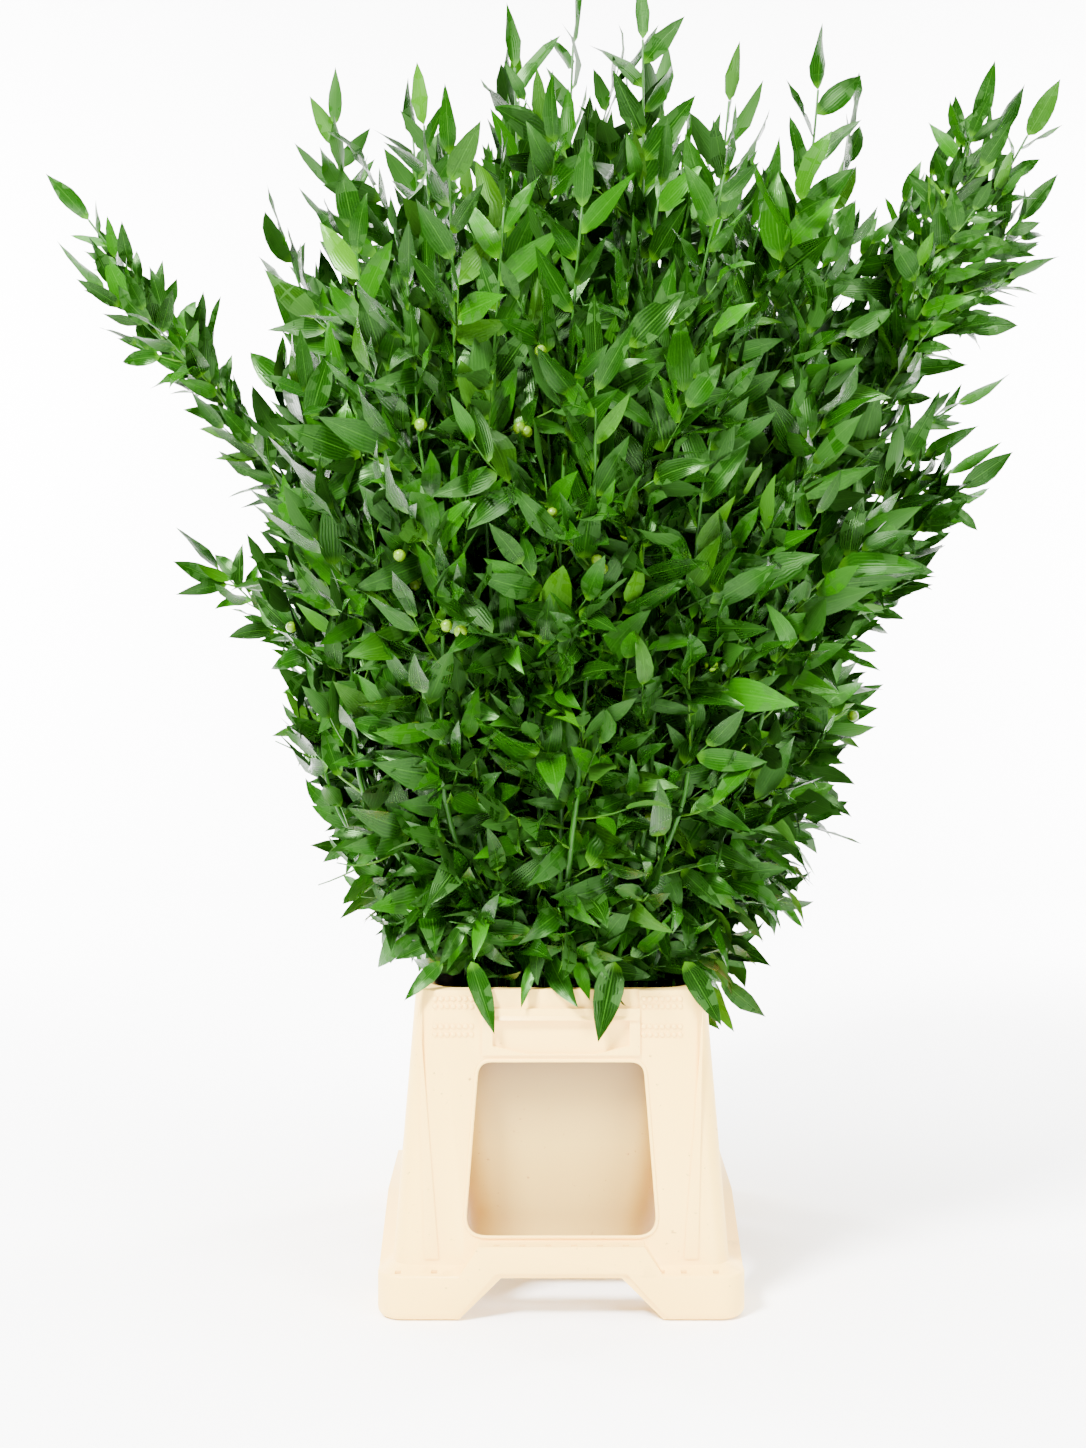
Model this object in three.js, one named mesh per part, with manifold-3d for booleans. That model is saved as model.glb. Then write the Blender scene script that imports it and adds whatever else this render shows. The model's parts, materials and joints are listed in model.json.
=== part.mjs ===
// A bunch of long-stemmed ruscus standing in a moulded flower bucket with water.
// Millimetres, +Z up. The origin is on the floor under the middle of the bucket, whose front faces -Y.
import * as THREE from 'three';
import { mergeVertices } from 'three/addons/utils/BufferGeometryUtils.js';
import Module from 'manifold-3d';

const wasm = await Module();
wasm.setup();

const GAP = 0.3; // clearance between pieces that touch on the real object

// Bucket: one moulding, kept as two solids, the outer shell on its skirt with feet and the water tub
// that hangs in it
const BUCKET = {
  height: 247,
  footprintX: 282,
  footprintY: 378,
  skirtCorner: 20,
  footEdge: 7, // rounding of the feet's lower outer edge
  footTread: 6, // width of the flat strip that each foot stands on
  skirtTop: 35, // height of the skirt's outer edge over the feet
  ledgeTop: 39, // where the ledge meets the shell
  shellBaseX: 260,
  shellBaseY: 350,
  shellTopX: 227,
  shellTopY: 318,
  shellCorner: 19,
  skirtWall: 6,
  shellWall: 3,
  rimEdge: 1.5,
};

// The skirt rises in the middle of each side; half widths at the ledge and at the top of the rise
const FRONT_RISE = { low: 80, high: 63, top: 57 };
const SIDE_RISE = { low: 160, high: 60, top: 66 };

// Arches between the feet: half widths at the floor and at the top of the arch
const FRONT_ARCH = { floor: 84, top: 50, height: 36.5 };
const SIDE_ARCH = { floor: 128, top: 92, height: 44 };
const ARCH_LIP = 4; // how far the inner half of the skirt wall stands into each arch

// Windows in the shell: half widths at the sill and at the head, and corner radii
const FRONT_WINDOW = { sill: 60, head: 193, halfSill: 75, halfHead: 64.5, sillCorner: 12, headCorner: 6 };
const SIDE_WINDOW = { sill: 76, head: 193, halfSill: 105, halfHead: 96, sillCorner: 12, headCorner: 6 };

const TUB = {
  openX: 200,
  openY: 290,
  floorX: 150,
  floorY: 236,
  openCorner: 22,
  floorCorner: 30,
  wall: 3,
  underside: 37,
};
const WATER_TOP = 128;

// Stems: the bare cane runs straight from the tub's floor to the rim, and the leafy part fans out above
// it
const SIDES = 4; // the wood is square in section
const TWIST = 0.55; // from one whorl to the next, in radians
const CANE_RADIUS = 3;
const CORE_RADIUS = 7; // the crowded shoots close round each cane
const SPRAY_RADIUS = 1.9;
// Side shoots: the leafless share, and where and how far they bend
const SHOOT = { bare: 0.2, bendAt: 0.45, bend: 22 };
const BERRY = { radius: 4.3, stalk: 10 };

// Leaves: lengths in the bunch, on loose sprays and at the ends, and the rest as shares of the length.
// pitch and sprayPitch are the distances between whorls, and foot is the height of wood that a leaf
// grows out of.
const LEAF = {
  length: 96, spray: 60, end: 52, slender: 0.36, rib: 1.8, droop: 0.12, pitch: 71, sprayPitch: 48, foot: 5,
};

// How far a leaf leans off its branch, in radians, and the share of the stem that the lean over the rim
// eases off in
const LEAN = { overRim: 1.4, low: 0.8, high: 0.52, eased: 0.18 };

// What a leaf tries until it has room: a turn round the wood, a change of lean, and a share of its length
const TRIES = [
  [0, 0, 1], [0.4, 0, 1], [-0.4, 0, 1], [0, -0.25, 1], [0, 0.3, 0.95], [0.6, 0.2, 0.85], [-0.6, 0.2, 0.85],
  [0.3, -0.2, 0.75], [-0.3, -0.2, 0.75], [0, -0.5, 0.8], [0, 0, 0.65],
];

const CREAM = 0xfcecd5;
const WATER = 0xcfdcd6;
const GREENS = [0x2f6b1f, 0x3a7a24, 0x27611d, 0x44842b];

// Seeded random numbers from 0 to 1
let seed = 20451;
function random() {
  seed = (seed * 1664525 + 1013904223) % 4294967296;
  return seed / 4294967296;
}

const vec = (x, y, z) => new THREE.Vector3(x, y, z);
const lerp = THREE.MathUtils.lerp;

// A closed skin over rings of points, each turning anticlockwise about the way the rings run; a ring of
// one point is a tip.
function loft(rings) {
  const positions = [];
  const index = [];
  const starts = [];
  for (const ring of rings) {
    starts.push(positions.length / 3);
    for (const p of ring) positions.push(p.x, p.y, p.z);
  }
  for (let k = 0; k + 1 < rings.length; k++) {
    const lower = rings[k].length;
    const upper = rings[k + 1].length;
    const count = Math.max(lower, upper);
    for (let i = 0; i < count; i++) {
      const j = (i + 1) % count;
      const a0 = starts[k] + (lower === 1 ? 0 : i);
      const a1 = starts[k] + (lower === 1 ? 0 : j);
      const b0 = starts[k + 1] + (upper === 1 ? 0 : i);
      const b1 = starts[k + 1] + (upper === 1 ? 0 : j);
      if (lower > 1) index.push(a0, a1, b1);
      if (upper > 1) index.push(a0, b1, b0);
    }
  }
  const last = rings.length - 1;
  for (let i = 1; i + 1 < rings[0].length; i++) index.push(starts[0], starts[0] + i + 1, starts[0] + i);
  for (let i = 1; i + 1 < rings[last].length; i++) {
    index.push(starts[last], starts[last] + i, starts[last] + i + 1);
  }
  const geometry = new THREE.BufferGeometry();
  geometry.setAttribute('position', new THREE.Float32BufferAttribute(positions, 3));
  geometry.setIndex(index);
  return geometry;
}

function toSolid(geometry) {
  const bare = new THREE.BufferGeometry();
  bare.setAttribute('position', geometry.getAttribute('position').clone());
  if (geometry.index) bare.setIndex(geometry.index.clone());
  const merged = mergeVertices(bare, 1e-4);
  return new wasm.Manifold(new wasm.Mesh({
    numProp: 3,
    vertProperties: new Float32Array(merged.getAttribute('position').array),
    triVerts: new Uint32Array(merged.index.array),
  }));
}

function toGeometry(solid) {
  const mesh = solid.getMesh();
  const geometry = new THREE.BufferGeometry();
  geometry.setAttribute('position', new THREE.BufferAttribute(new Float32Array(mesh.vertProperties), 3));
  geometry.setIndex(new THREE.BufferAttribute(new Uint32Array(mesh.triVerts), 1));
  geometry.computeVertexNormals();
  return geometry;
}

function named(name, geometry, colour, roughness) {
  const material = new THREE.MeshStandardMaterial({ color: colour, roughness, metalness: 0 });
  const mesh = new THREE.Mesh(geometry, material);
  mesh.name = name;
  return mesh;
}

// A rectangle with round corners at height z
function section(sizeX, sizeY, corner, z, steps = 3) {
  const ring = [];
  for (let quarter = 0; quarter < 4; quarter++) {
    const cx = (quarter === 0 || quarter === 3 ? 1 : -1) * (sizeX / 2 - corner);
    const cy = (quarter < 2 ? 1 : -1) * (sizeY / 2 - corner);
    for (let s = 0; s <= steps; s++) {
      const angle = (quarter + s / steps) * Math.PI / 2;
      ring.push(vec(cx + corner * Math.cos(angle), cy + corner * Math.sin(angle), z));
    }
  }
  return ring;
}

// An outline of (across, up) points pushed through one wall of the bucket, from near to far off its
// middle. side 0 is the front, 1 the right, 2 the back and 3 the left.
function through(outline, near, far, side) {
  const settings = { depth: far - near, bevelEnabled: false, curveSegments: 3 };
  const geometry = new THREE.ExtrudeGeometry(outline, settings);
  geometry.rotateX(Math.PI / 2);
  geometry.translate(0, -near, 0);
  geometry.rotateZ(side * Math.PI / 2);
  return toSolid(geometry);
}

function trapezoid(halfLow, halfHigh, low, high) {
  return new THREE.Shape([
    new THREE.Vector2(-halfLow, low),
    new THREE.Vector2(halfLow, low),
    new THREE.Vector2(halfHigh, high),
    new THREE.Vector2(-halfHigh, high),
  ]);
}

function windowOutline({ sill, head, halfSill, halfHead, sillCorner, headCorner }) {
  const slope = (halfSill - halfHead) / (head - sill);
  const shape = new THREE.Shape();
  shape.moveTo(-halfSill + sillCorner, sill);
  shape.lineTo(halfSill - sillCorner, sill);
  shape.quadraticCurveTo(halfSill, sill, halfSill - slope * sillCorner, sill + sillCorner);
  shape.lineTo(halfHead + slope * headCorner, head - headCorner);
  shape.quadraticCurveTo(halfHead, head, halfHead - headCorner, head);
  shape.lineTo(-halfHead + headCorner, head);
  shape.quadraticCurveTo(-halfHead, head, -halfHead - slope * headCorner, head - headCorner);
  shape.lineTo(-halfSill + slope * sillCorner, sill + sillCorner);
  shape.quadraticCurveTo(-halfSill, sill, -halfSill + sillCorner, sill);
  return shape;
}

// The tub's section at height z, grown outwards by grow
function tubSection(z, grow) {
  const t = (z - TUB.underside - TUB.wall) / (BUCKET.height - TUB.underside - TUB.wall);
  const sizeX = lerp(TUB.floorX, TUB.openX, t) + 2 * grow;
  const sizeY = lerp(TUB.floorY, TUB.openY, t) + 2 * grow;
  return section(sizeX, sizeY, lerp(TUB.floorCorner, TUB.openCorner, t) + grow, z);
}

function makeShell() {
  const b = BUCKET;
  const outline = (inset, z) => section(
    b.footprintX - 2 * inset, b.footprintY - 2 * inset, b.skirtCorner - inset, z,
  );
  let body = toSolid(loft([
    outline(b.footEdge, 0),
    outline(b.footEdge * 0.3, b.footEdge * 0.3),
    outline(0, b.footEdge),
    outline(0, b.skirtTop),
    section(b.shellBaseX, b.shellBaseY, b.shellCorner, b.ledgeTop),
    section(b.shellTopX, b.shellTopY, b.shellCorner, b.height - b.rimEdge),
    section(b.shellTopX - 2 * b.rimEdge, b.shellTopY - 2 * b.rimEdge, b.shellCorner - b.rimEdge, b.height),
  ]));
  const wall = b.shellWall;
  const tread = b.footEdge + b.footTread;
  let hollow = toSolid(loft([
    outline(tread, -1),
    outline(tread, b.footEdge),
    outline(b.skirtWall, b.footEdge + b.footTread),
    outline(b.skirtWall, b.skirtTop - wall),
    section(b.shellBaseX - 2 * wall, b.shellBaseY - 2 * wall, b.shellCorner - wall, b.ledgeTop - wall),
    section(b.shellTopX - 2 * wall, b.shellTopY - 2 * wall, b.shellCorner - wall, b.height - wall),
  ]));
  const rises = [
    [FRONT_RISE, b.footprintY / 2, b.shellBaseY / 2],
    [SIDE_RISE, b.footprintX / 2, b.shellBaseX / 2],
    [FRONT_RISE, b.footprintY / 2, b.shellBaseY / 2],
    [SIDE_RISE, b.footprintX / 2, b.shellBaseX / 2],
  ];
  rises.forEach(([rise, outer, shell], side) => {
    const { low, high, top } = rise;
    const inner = shell - 20;
    body = body.add(through(trapezoid(low, high, b.skirtTop - 4, top), inner, outer, side));
    const roof = trapezoid(low - b.skirtWall, high - wall, b.skirtTop - 12, top - wall);
    hollow = hollow.add(through(roof, inner - 2, outer - b.skirtWall, side));
  });
  body = body.subtract(hollow);
  body = body.subtract(toSolid(loft([
    tubSection(TUB.underside, TUB.wall + GAP),
    tubSection(b.height + 1, TUB.wall + GAP),
  ])));

  const walls = [
    [FRONT_ARCH, b.footprintY / 2, FRONT_WINDOW, b.shellTopY / 2 - 9],
    [SIDE_ARCH, b.footprintX / 2, SIDE_WINDOW, b.shellTopX / 2 - 6],
  ];
  for (let side = 0; side < 4; side++) {
    const [arch, face, window, behind] = walls[side % 2];
    const skin = b.skirtWall / 2;
    const { floor, top, height } = arch;
    body = body.subtract(through(trapezoid(floor, top, -1, height), face - skin, face + 1, side));
    const lip = trapezoid(floor - ARCH_LIP, top - ARCH_LIP, -1, height - ARCH_LIP);
    body = body.subtract(through(lip, face - tread - 1, face - skin + 0.1, side));
    body = body.subtract(through(windowOutline(window), behind, face + 1, side));
  }
  return body;
}

function makeTub() {
  const outside = toSolid(loft([tubSection(TUB.underside, TUB.wall), tubSection(BUCKET.height, TUB.wall)]));
  const inside = loft([tubSection(TUB.underside + TUB.wall, 0), tubSection(BUCKET.height + 1, 0)]);
  return outside.subtract(toSolid(inside));
}


// Stems. The outer ring leans over the rim and then grows upright; the inner ring and the middle stem
// fill the bunch. Each row gives the point that the stem's topmost leaf reaches and, for the stems
// whose ends run loose out of the bunch, how much of the leafy part is crowded. Shoots leave their stem
// at a share of its length.
const RINGS = {
  outer: { count: 14, turn: 0.5, base: [46, 78], rim: [80, 122], hip: [168, 180], shoulder: [218, 226] },
  inner: { count: 7, turn: 0, base: [22, 42], rim: [38, 60], hip: [82, 88], shoulder: [108, 115] },
  middle: { count: 1, turn: 0, base: [0, 0], rim: [0, 0], hip: [4, -3], shoulder: [-3, 4] },
};
const RIM_LEVEL = 250;
const HIP_LEVEL = 400;
const SHOULDER_LEVEL = 610;
const STEMS = [
  { ring: 'outer', tip: [399, 40, 756], crowded: 0.55 },
  { ring: 'outer', tip: [262, 175, 968], shoots: [{ from: 0.62, tip: [412, 60, 842] }] },
  { ring: 'outer', tip: [150, 205, 1020] },
  { ring: 'outer', tip: [20, 235, 1010] },
  { ring: 'outer', tip: [-105, 215, 1030] },
  { ring: 'outer', tip: [-209, 130, 1045] },
  { ring: 'outer', tip: [-251, 40, 923], shoots: [{ from: 0.32, tip: [-333, 40, 607] }] },
  { ring: 'outer', tip: [-425, -40, 911], crowded: 0.5, shoots: [{ from: 0.74, tip: [-408, -84, 834] }] },
  { ring: 'outer', tip: [-169, -140, 900] },
  { ring: 'outer', tip: [-83, -205, 948] },
  { ring: 'outer', tip: [20, -235, 900] },
  { ring: 'outer', tip: [132, -215, 930] },
  { ring: 'outer', tip: [208, -130, 1010] },
  {
    ring: 'outer',
    tip: [414, -60, 985],
    crowded: 0.6,
    shoots: [
      { from: 0.74, tip: [416, -30, 899] },
      { from: 0.66, tip: [350, -100, 979] },
    ],
  },
  { ring: 'inner', tip: [150, 0, 1033] },
  { ring: 'inner', tip: [98, 95, 1060] },
  { ring: 'inner', tip: [-46, 110, 1062] },
  { ring: 'inner', tip: [-133, 52, 1013] },
  { ring: 'inner', tip: [-114, -62, 996] },
  { ring: 'inner', tip: [-39, -98, 1036] },
  { ring: 'inner', tip: [66, -96, 1062] },
  { ring: 'middle', tip: [14, 6, 1085] },
];

const onRing = (size, angle, z) => vec(size[0] * Math.cos(angle), size[1] * Math.sin(angle), z);

// Two directions square to a tangent, and the point at an angle between them
function frameOn(tangent) {
  const across = vec(0, 1, 0).cross(tangent).normalize();
  return [across, tangent.clone().cross(across)];
}

const UPRIGHT = frameOn(vec(0, 0, 1));

function awayFrom(centre, [across, along], radius, angle) {
  return centre.clone()
    .addScaledVector(across, radius * Math.cos(angle))
    .addScaledVector(along, radius * Math.sin(angle));
}

function ringAt(centre, frame, radius, twist = 0, sides = SIDES) {
  const angles = Array.from({ length: sides }, (_, i) => twist + 2 * Math.PI * i / sides);
  return angles.map((angle) => awayFrom(centre, frame, radius, angle));
}

// Half width, height and thickness of a leaf at each of its stations: flat above, with a rib below that
// thins out to the margins, a pointed tip, widest at a third of its length and drooping towards the tip
const STATIONS = [[0.34, 1], [0.7, 0.64]];

function leafSections({ root, direction, normal, length, width, droop }) {
  const side = normal.clone().cross(direction);
  const centreAt = (along) => root.clone()
    .addScaledVector(direction, along * length)
    .addScaledVector(normal, -droop * length * along * along);
  const sections = STATIONS.map(([along, share]) => {
    const centre = centreAt(along);
    return [
      centre.clone().addScaledVector(side, width * share / 2),
      centre.clone().addScaledVector(side, -width * share / 2),
      centre.clone().addScaledVector(normal, -LEAF.rib),
    ];
  });
  return [...sections, [centreAt(1)]];
}

// The room that a leaf takes: the same form, fatter by the gap all round. Its neighbours on the same
// wood keep clear of the blade alone, and all others keep clear of the foot that it grows out of too.
function leafRoom(leaf) {
  const { root, normal, direction, footWidth } = leaf;
  const side = normal.clone().cross(direction);
  const around = (right, left, rib, high) => [
    right.clone().addScaledVector(side, 2 * GAP).addScaledVector(normal, high),
    left.clone().addScaledVector(side, -2 * GAP).addScaledVector(normal, high),
    left.clone().addScaledVector(side, -2 * GAP).addScaledVector(normal, -high),
    rib.clone().addScaledVector(normal, -high),
    right.clone().addScaledVector(side, 2 * GAP).addScaledVector(normal, -high),
  ];
  const [right, left] = [0.5, -0.5].map((share) => root.clone().addScaledVector(side, share * footWidth));
  const sections = leafSections({ ...leaf, length: leaf.length + 4 * GAP });
  const rings = sections.slice(0, -1).map((ring) => around(...ring, GAP));
  return {
    blade: toSolid(loft([[root], ...rings, sections.at(-1)])),
    whole: toSolid(loft([around(right, left, root, LEAF.foot / 2), ...rings, sections.at(-1)])),
  };
}

const taken = []; // everything already placed, with its box, for keeping new pieces clear

function place(owner, whole, blade = null) {
  const { min, max } = whole.boundingBox();
  taken.push({ owner, whole, blade, min, max });
}

function isClear(owner, whole, blade = null) {
  const { min, max } = whole.boundingBox();
  for (const other of taken) {
    if ([0, 1, 2].some((i) => other.min[i] > max[i] || other.max[i] < min[i])) continue;
    const [mine, theirs] = other.owner === owner ? [blade, other.blade] : [whole, other.whole];
    if (!mine || !theirs) continue;
    const shared = mine.intersect(theirs);
    const hit = !shared.isEmpty();
    shared.delete();
    if (hit) return false;
  }
  return true;
}

// A branch is one closed skin: square wood along a curve, with a short band of wood for each whorl. A
// leaf, a berry or a side shoot grows out of one side of a band, and the last leaf out of the end. foot
// is the middle of a first ring that lies level.
function makeBranch(curve, { from, end, pitch, radiusAt, foot = null }) {
  const length = curve.getLength();
  const count = Math.max(2, Math.round((end - from) * length / pitch));
  const rings = foot ? [{ centre: foot, frame: UPRIGHT, radius: CANE_RADIUS, twist: 0 }] : [];
  const addTurned = (share, twist) => rings.push({
    centre: curve.getPointAt(share),
    frame: frameOn(curve.getTangentAt(share)),
    radius: radiusAt(share),
    twist,
  });
  const bands = [];
  const half = LEAF.foot / 2 / length;
  for (let i = 0; i < count; i++) {
    const share = lerp(from, end - 3 * half, i / (count - 1));
    bands.push({ lower: rings.length, share });
    addTurned(share - half, TWIST * i);
    addTurned(share + half, TWIST * i);
  }
  addTurned(end, TWIST * count);
  const corners = rings.map(cornersOf);
  const faces = facesOf((skin) => joinAll(skin, corners.map((ring) => addRing(skin, ring))));
  return { curve, rings, bands, length, end, grown: new Map(), corners, faces };
}

const cornersOf = ({ centre, frame, radius, twist }) => ringAt(centre, frame, radius, twist);
const woodOf = (branch) => toSolid(loft(branch.corners));
const middleOf = (points) => points.reduce((sum, p) => sum.add(p), vec(0, 0, 0)).divideScalar(points.length);

// The sides of the branch's bands: each has a key, its four corners, its middle and the way it faces
function sidesOf(branch, bands = branch.bands) {
  return bands.flatMap(({ lower, share }) => Array.from({ length: SIDES }, (_, i) => {
    const { corners } = branch;
    const j = (i + 1) % SIDES;
    const quad = [corners[lower][i], corners[lower][j], corners[lower + 1][j], corners[lower + 1][i]];
    const middle = middleOf(quad);
    const outward = middle.clone().sub(branch.curve.getPointAt(share)).normalize();
    return { key: `${lower}.${i}`, quad, middle, outward, share };
  }));
}

// Grows a leaf out of each bare side of each band that has room for it above the rim. On its own branch
// a leaf only has to miss what is there, foot and all.
function addLeaves(branch, { lengthAt, leanAt }) {
  for (const { key, quad, middle, outward, share } of sidesOf(branch)) {
    if (branch.grown.has(key)) continue;
    const tangent = branch.curve.getTangentAt(share);
    const left = (branch.end - share) * branch.length + LEAF.end;
    const size = Math.min(lengthAt(share) * (0.84 + 0.3 * random()), 0.9 * left);
    const lean = leanAt(share) + 0.36 * (random() - 0.5);
    const sweep = 0.8 * (random() - 0.5);
    const roll = 0.8 * (random() - 0.5);
    for (const [n, [turn, tilt, scale]] of TRIES.entries()) {
      const away = outward.clone().applyAxisAngle(tangent, sweep + turn);
      const angle = lean + tilt;
      const direction = tangent.clone().multiplyScalar(Math.cos(angle));
      direction.addScaledVector(away, Math.sin(angle));
      const normal = tangent.clone().multiplyScalar(Math.sin(angle));
      normal.addScaledVector(away, -Math.cos(angle));
      normal.applyAxisAngle(direction, roll * (1 - n / TRIES.length)).normalize();
      const leaf = {
        root: middle,
        direction,
        normal,
        length: size * scale,
        width: size * scale * LEAF.slender,
        droop: LEAF.droop,
        footWidth: quad[0].distanceTo(quad[1]),
      };
      const { whole, blade } = leafRoom(leaf);
      const faces = facesOf((skin) => growLeaf(skin, addRing(skin, quad), leaf));
      const isOverRim = faces.every(({ box }) => box.min.z > RIM_LEVEL);
      if (isOverRim && !areCrossed(faces, [...faces, ...branch.faces]) && isClear(branch, whole, blade)) {
        place(branch, whole, blade);
        branch.faces.push(...faces);
        branch.grown.set(key, (skin, foot) => growLeaf(skin, foot, leaf));
        break;
      }
      whole.delete();
      blade.delete();
    }
  }
}

// The leaf that a branch ends in grows out of the last ring
function endLeaf(branch) {
  const tangent = branch.curve.getTangentAt(branch.end);
  const { centre } = branch.rings.at(-1);
  const [a, b] = branch.corners.at(-1);
  const normal = centre.clone().sub(a.clone().add(b).multiplyScalar(0.5)).normalize();
  return {
    root: centre,
    direction: tangent,
    normal,
    length: LEAF.end,
    width: LEAF.end * LEAF.slender,
    droop: 0.03,
    footWidth: a.distanceTo(b),
  };
}

// A skin under way: its points so far, and its triangles
function addRing(skin, ring) {
  return ring.map((p) => skin.positions.push(p.x, p.y, p.z) / 3 - 1);
}

const pointAt = (skin, i) => vec(...skin.positions.slice(3 * i, 3 * i + 3));

// Joins two rings of as many points, or a ring to a tip
function join(skin, lower, upper) {
  for (let i = 0; i < lower.length; i++) {
    const j = (i + 1) % lower.length;
    if (upper.length === 1) skin.index.push(lower[i], lower[j], upper[0]);
    else skin.index.push(lower[i], lower[j], upper[j], lower[i], upper[j], upper[i]);
  }
}

function joinAll(skin, rings) {
  for (let k = 1; k < rings.length; k++) join(skin, rings[k - 1], rings[k]);
}

// The triangles that grow makes, each with its box
function facesOf(grow) {
  const skin = { positions: [], index: [] };
  grow(skin);
  const faces = [];
  for (let k = 0; k < skin.index.length; k += 3) {
    const points = skin.index.slice(k, k + 3).map((i) => pointAt(skin, i));
    faces.push({ points, box: new THREE.Box3().setFromPoints(points) });
  }
  return faces;
}

function edgesPierce(face, other) {
  return face.points.some((p, i) => {
    const way = face.points[(i + 1) % 3].clone().sub(p);
    const length = way.length();
    const ray = new THREE.Ray(p, way.divideScalar(length));
    const hit = ray.intersectTriangle(...other.points, false, vec(0, 0, 0));
    return hit !== null && hit.distanceTo(p) < length;
  });
}

// Whether one set of triangles runs through another; two that share a corner don't
function areCrossed(mine, theirs) {
  const shareCorner = (a, b) => a.points.some((p) => b.points.some((q) => p.distanceToSquared(q) < 1e-12));
  return mine.some((a) => theirs.some((b) => (
    a.box.intersectsBox(b.box) && !shareCorner(a, b) && (edgesPierce(a, b) || edgesPierce(b, a))
  )));
}

// Out of a side with four corners: a0 and a1 below, b0 and b1 above
function growLeaf(skin, [a0, a1, b1, b0], leaf) {
  const sections = leafSections(leaf).map((ring) => addRing(skin, ring));
  const [right, left, rib] = sections[0];
  skin.index.push(
    a1, b1, right, a1, right, rib, b1, b0, left, b1, left, right,
    b0, a0, rib, b0, rib, left, a0, a1, rib,
  );
  joinAll(skin, sections);
}

function berryRings({ middle, outward, tangent }) {
  const frame = frameOn(outward.clone().addScaledVector(tangent, 0.02).normalize());
  const { radius: r, stalk } = BERRY;
  const profile = [[0.4 * stalk, 0.9], [stalk, 0.8], [stalk + 0.5 * r, r], [stalk + 1.4 * r, 0.85 * r]];
  const centreAt = (far) => middle.clone().addScaledVector(outward, far);
  const rings = profile.map(([far, radius]) => ringAt(centreAt(far), frame, radius));
  return [...rings, [middle.clone().addScaledVector(outward, stalk + 2 * r)]];
}

// Joins the foot to a first ring, from the corner that twists the skin least
function growFrom(skin, foot, rings) {
  const turned = (k) => rings[0].map((_, i, ring) => ring[(i + k) % SIDES]);
  const twist = (k) => turned(k).reduce((sum, p, i) => sum + pointAt(skin, foot[i]).distanceTo(p), 0);
  const best = rings[0].map((_, k) => k).sort((a, b) => twist(a) - twist(b))[0];
  const sections = rings.map((ring) => addRing(skin, ring));
  join(skin, foot, sections[0].map((_, i, ring) => ring[(i + best) % SIDES]));
  joinAll(skin, sections);
  return sections;
}

// The wood of a branch between its rings, with all that grows on it
function growBranch(skin, branch, at) {
  for (let k = 0; k + 1 < at.length; k++) {
    for (let i = 0; i < SIDES; i++) {
      const j = (i + 1) % SIDES;
      const foot = [at[k][i], at[k][j], at[k + 1][j], at[k + 1][i]];
      const grow = branch.grown.get(`${k}.${i}`);
      if (grow) grow(skin, foot);
      else skin.index.push(foot[0], foot[1], foot[2], foot[0], foot[2], foot[3]);
    }
  }
  growLeaf(skin, at.at(-1), endLeaf(branch));
}

// The closed skin of a stem's leafy part
function stemSkin(stem) {
  const skin = { positions: [], index: [] };
  const at = stem.corners.map((ring) => addRing(skin, ring));
  skin.index.push(at[0][0], at[0][2], at[0][1], at[0][0], at[0][3], at[0][2]);
  growBranch(skin, stem, at);
  const geometry = new THREE.BufferGeometry();
  geometry.setAttribute('position', new THREE.Float32BufferAttribute(skin.positions, 3));
  geometry.setIndex(skin.index);
  geometry.computeVertexNormals();
  return geometry;
}

// Radius of the wood at a share of the leafy length; in the bunch it stands for the crowded shoots
// round the cane
function coreRadius(share, crowded) {
  const open = THREE.MathUtils.smoothstep(share, 0, 0.1);
  const close = THREE.MathUtils.smoothstep(share, crowded - 0.18, crowded);
  return lerp(lerp(CANE_RADIUS, CORE_RADIUS, open), SPRAY_RADIUS, close);
}

// A berry on a short stalk, among a whorl's leaves, on whichever side of the band has room for it
function addBerry(branch, share) {
  const band = branch.bands[Math.round(share * (branch.bands.length - 1))];
  const tangent = branch.curve.getTangentAt(band.share);
  for (const { key, quad, middle, outward } of sidesOf(branch, [band])) {
    const rings = berryRings({ middle, outward, tangent });
    const room = toSolid(loft(rings));
    const faces = facesOf((skin) => growFrom(skin, addRing(skin, quad), rings));
    const isBare = !branch.grown.has(key) && !areCrossed(faces, [...faces, ...branch.faces]);
    if (isBare && isClear(branch, room, room)) {
      place(branch, room, room);
      branch.faces.push(...faces);
      branch.grown.set(key, (skin, foot) => growFrom(skin, foot, rings));
      return;
    }
  }
}

// A side shoot grows out of the side that faces its tip, and bends off to it
function addShoot(stem, { from, tip }) {
  const end = vec(...tip);
  const off = (band) => Math.abs(band.share - from);
  const nearest = stem.bands.reduce((best, band) => (off(band) < off(best) ? band : best));
  const facing = ({ middle, outward }) => outward.dot(end.clone().sub(middle).normalize());
  const { key, quad, middle } = sidesOf(stem, [nearest]).sort((a, b) => facing(b) - facing(a))[0];
  const upward = stem.curve.getTangentAt(nearest.share);
  const bend = middle.clone().lerp(end, SHOOT.bendAt).addScaledVector(upward, SHOOT.bend);
  const curve = new THREE.QuadraticBezierCurve3(middle, bend, end);
  const last = 1 - LEAF.end / curve.getLength();
  const radiusAt = () => SPRAY_RADIUS;
  const shoot = makeBranch(curve, { from: SHOOT.bare, end: last, pitch: LEAF.sprayPitch, radiusAt });
  const root = facesOf((skin) => growFrom(skin, addRing(skin, quad), shoot.corners.slice(0, 1)));
  if (areCrossed([...root, ...shoot.faces], stem.faces)) {
    throw new Error('a side shoot runs through its stem');
  }
  stem.faces.push(...root, ...shoot.faces);
  stem.grown.set(key, (skin, foot) => {
    const at = growFrom(skin, foot, shoot.corners.slice(0, 1));
    const rest = shoot.corners.slice(1).map((ring) => addRing(skin, ring));
    growBranch(skin, shoot, [...at, ...rest]);
  });
  return shoot;
}

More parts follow.
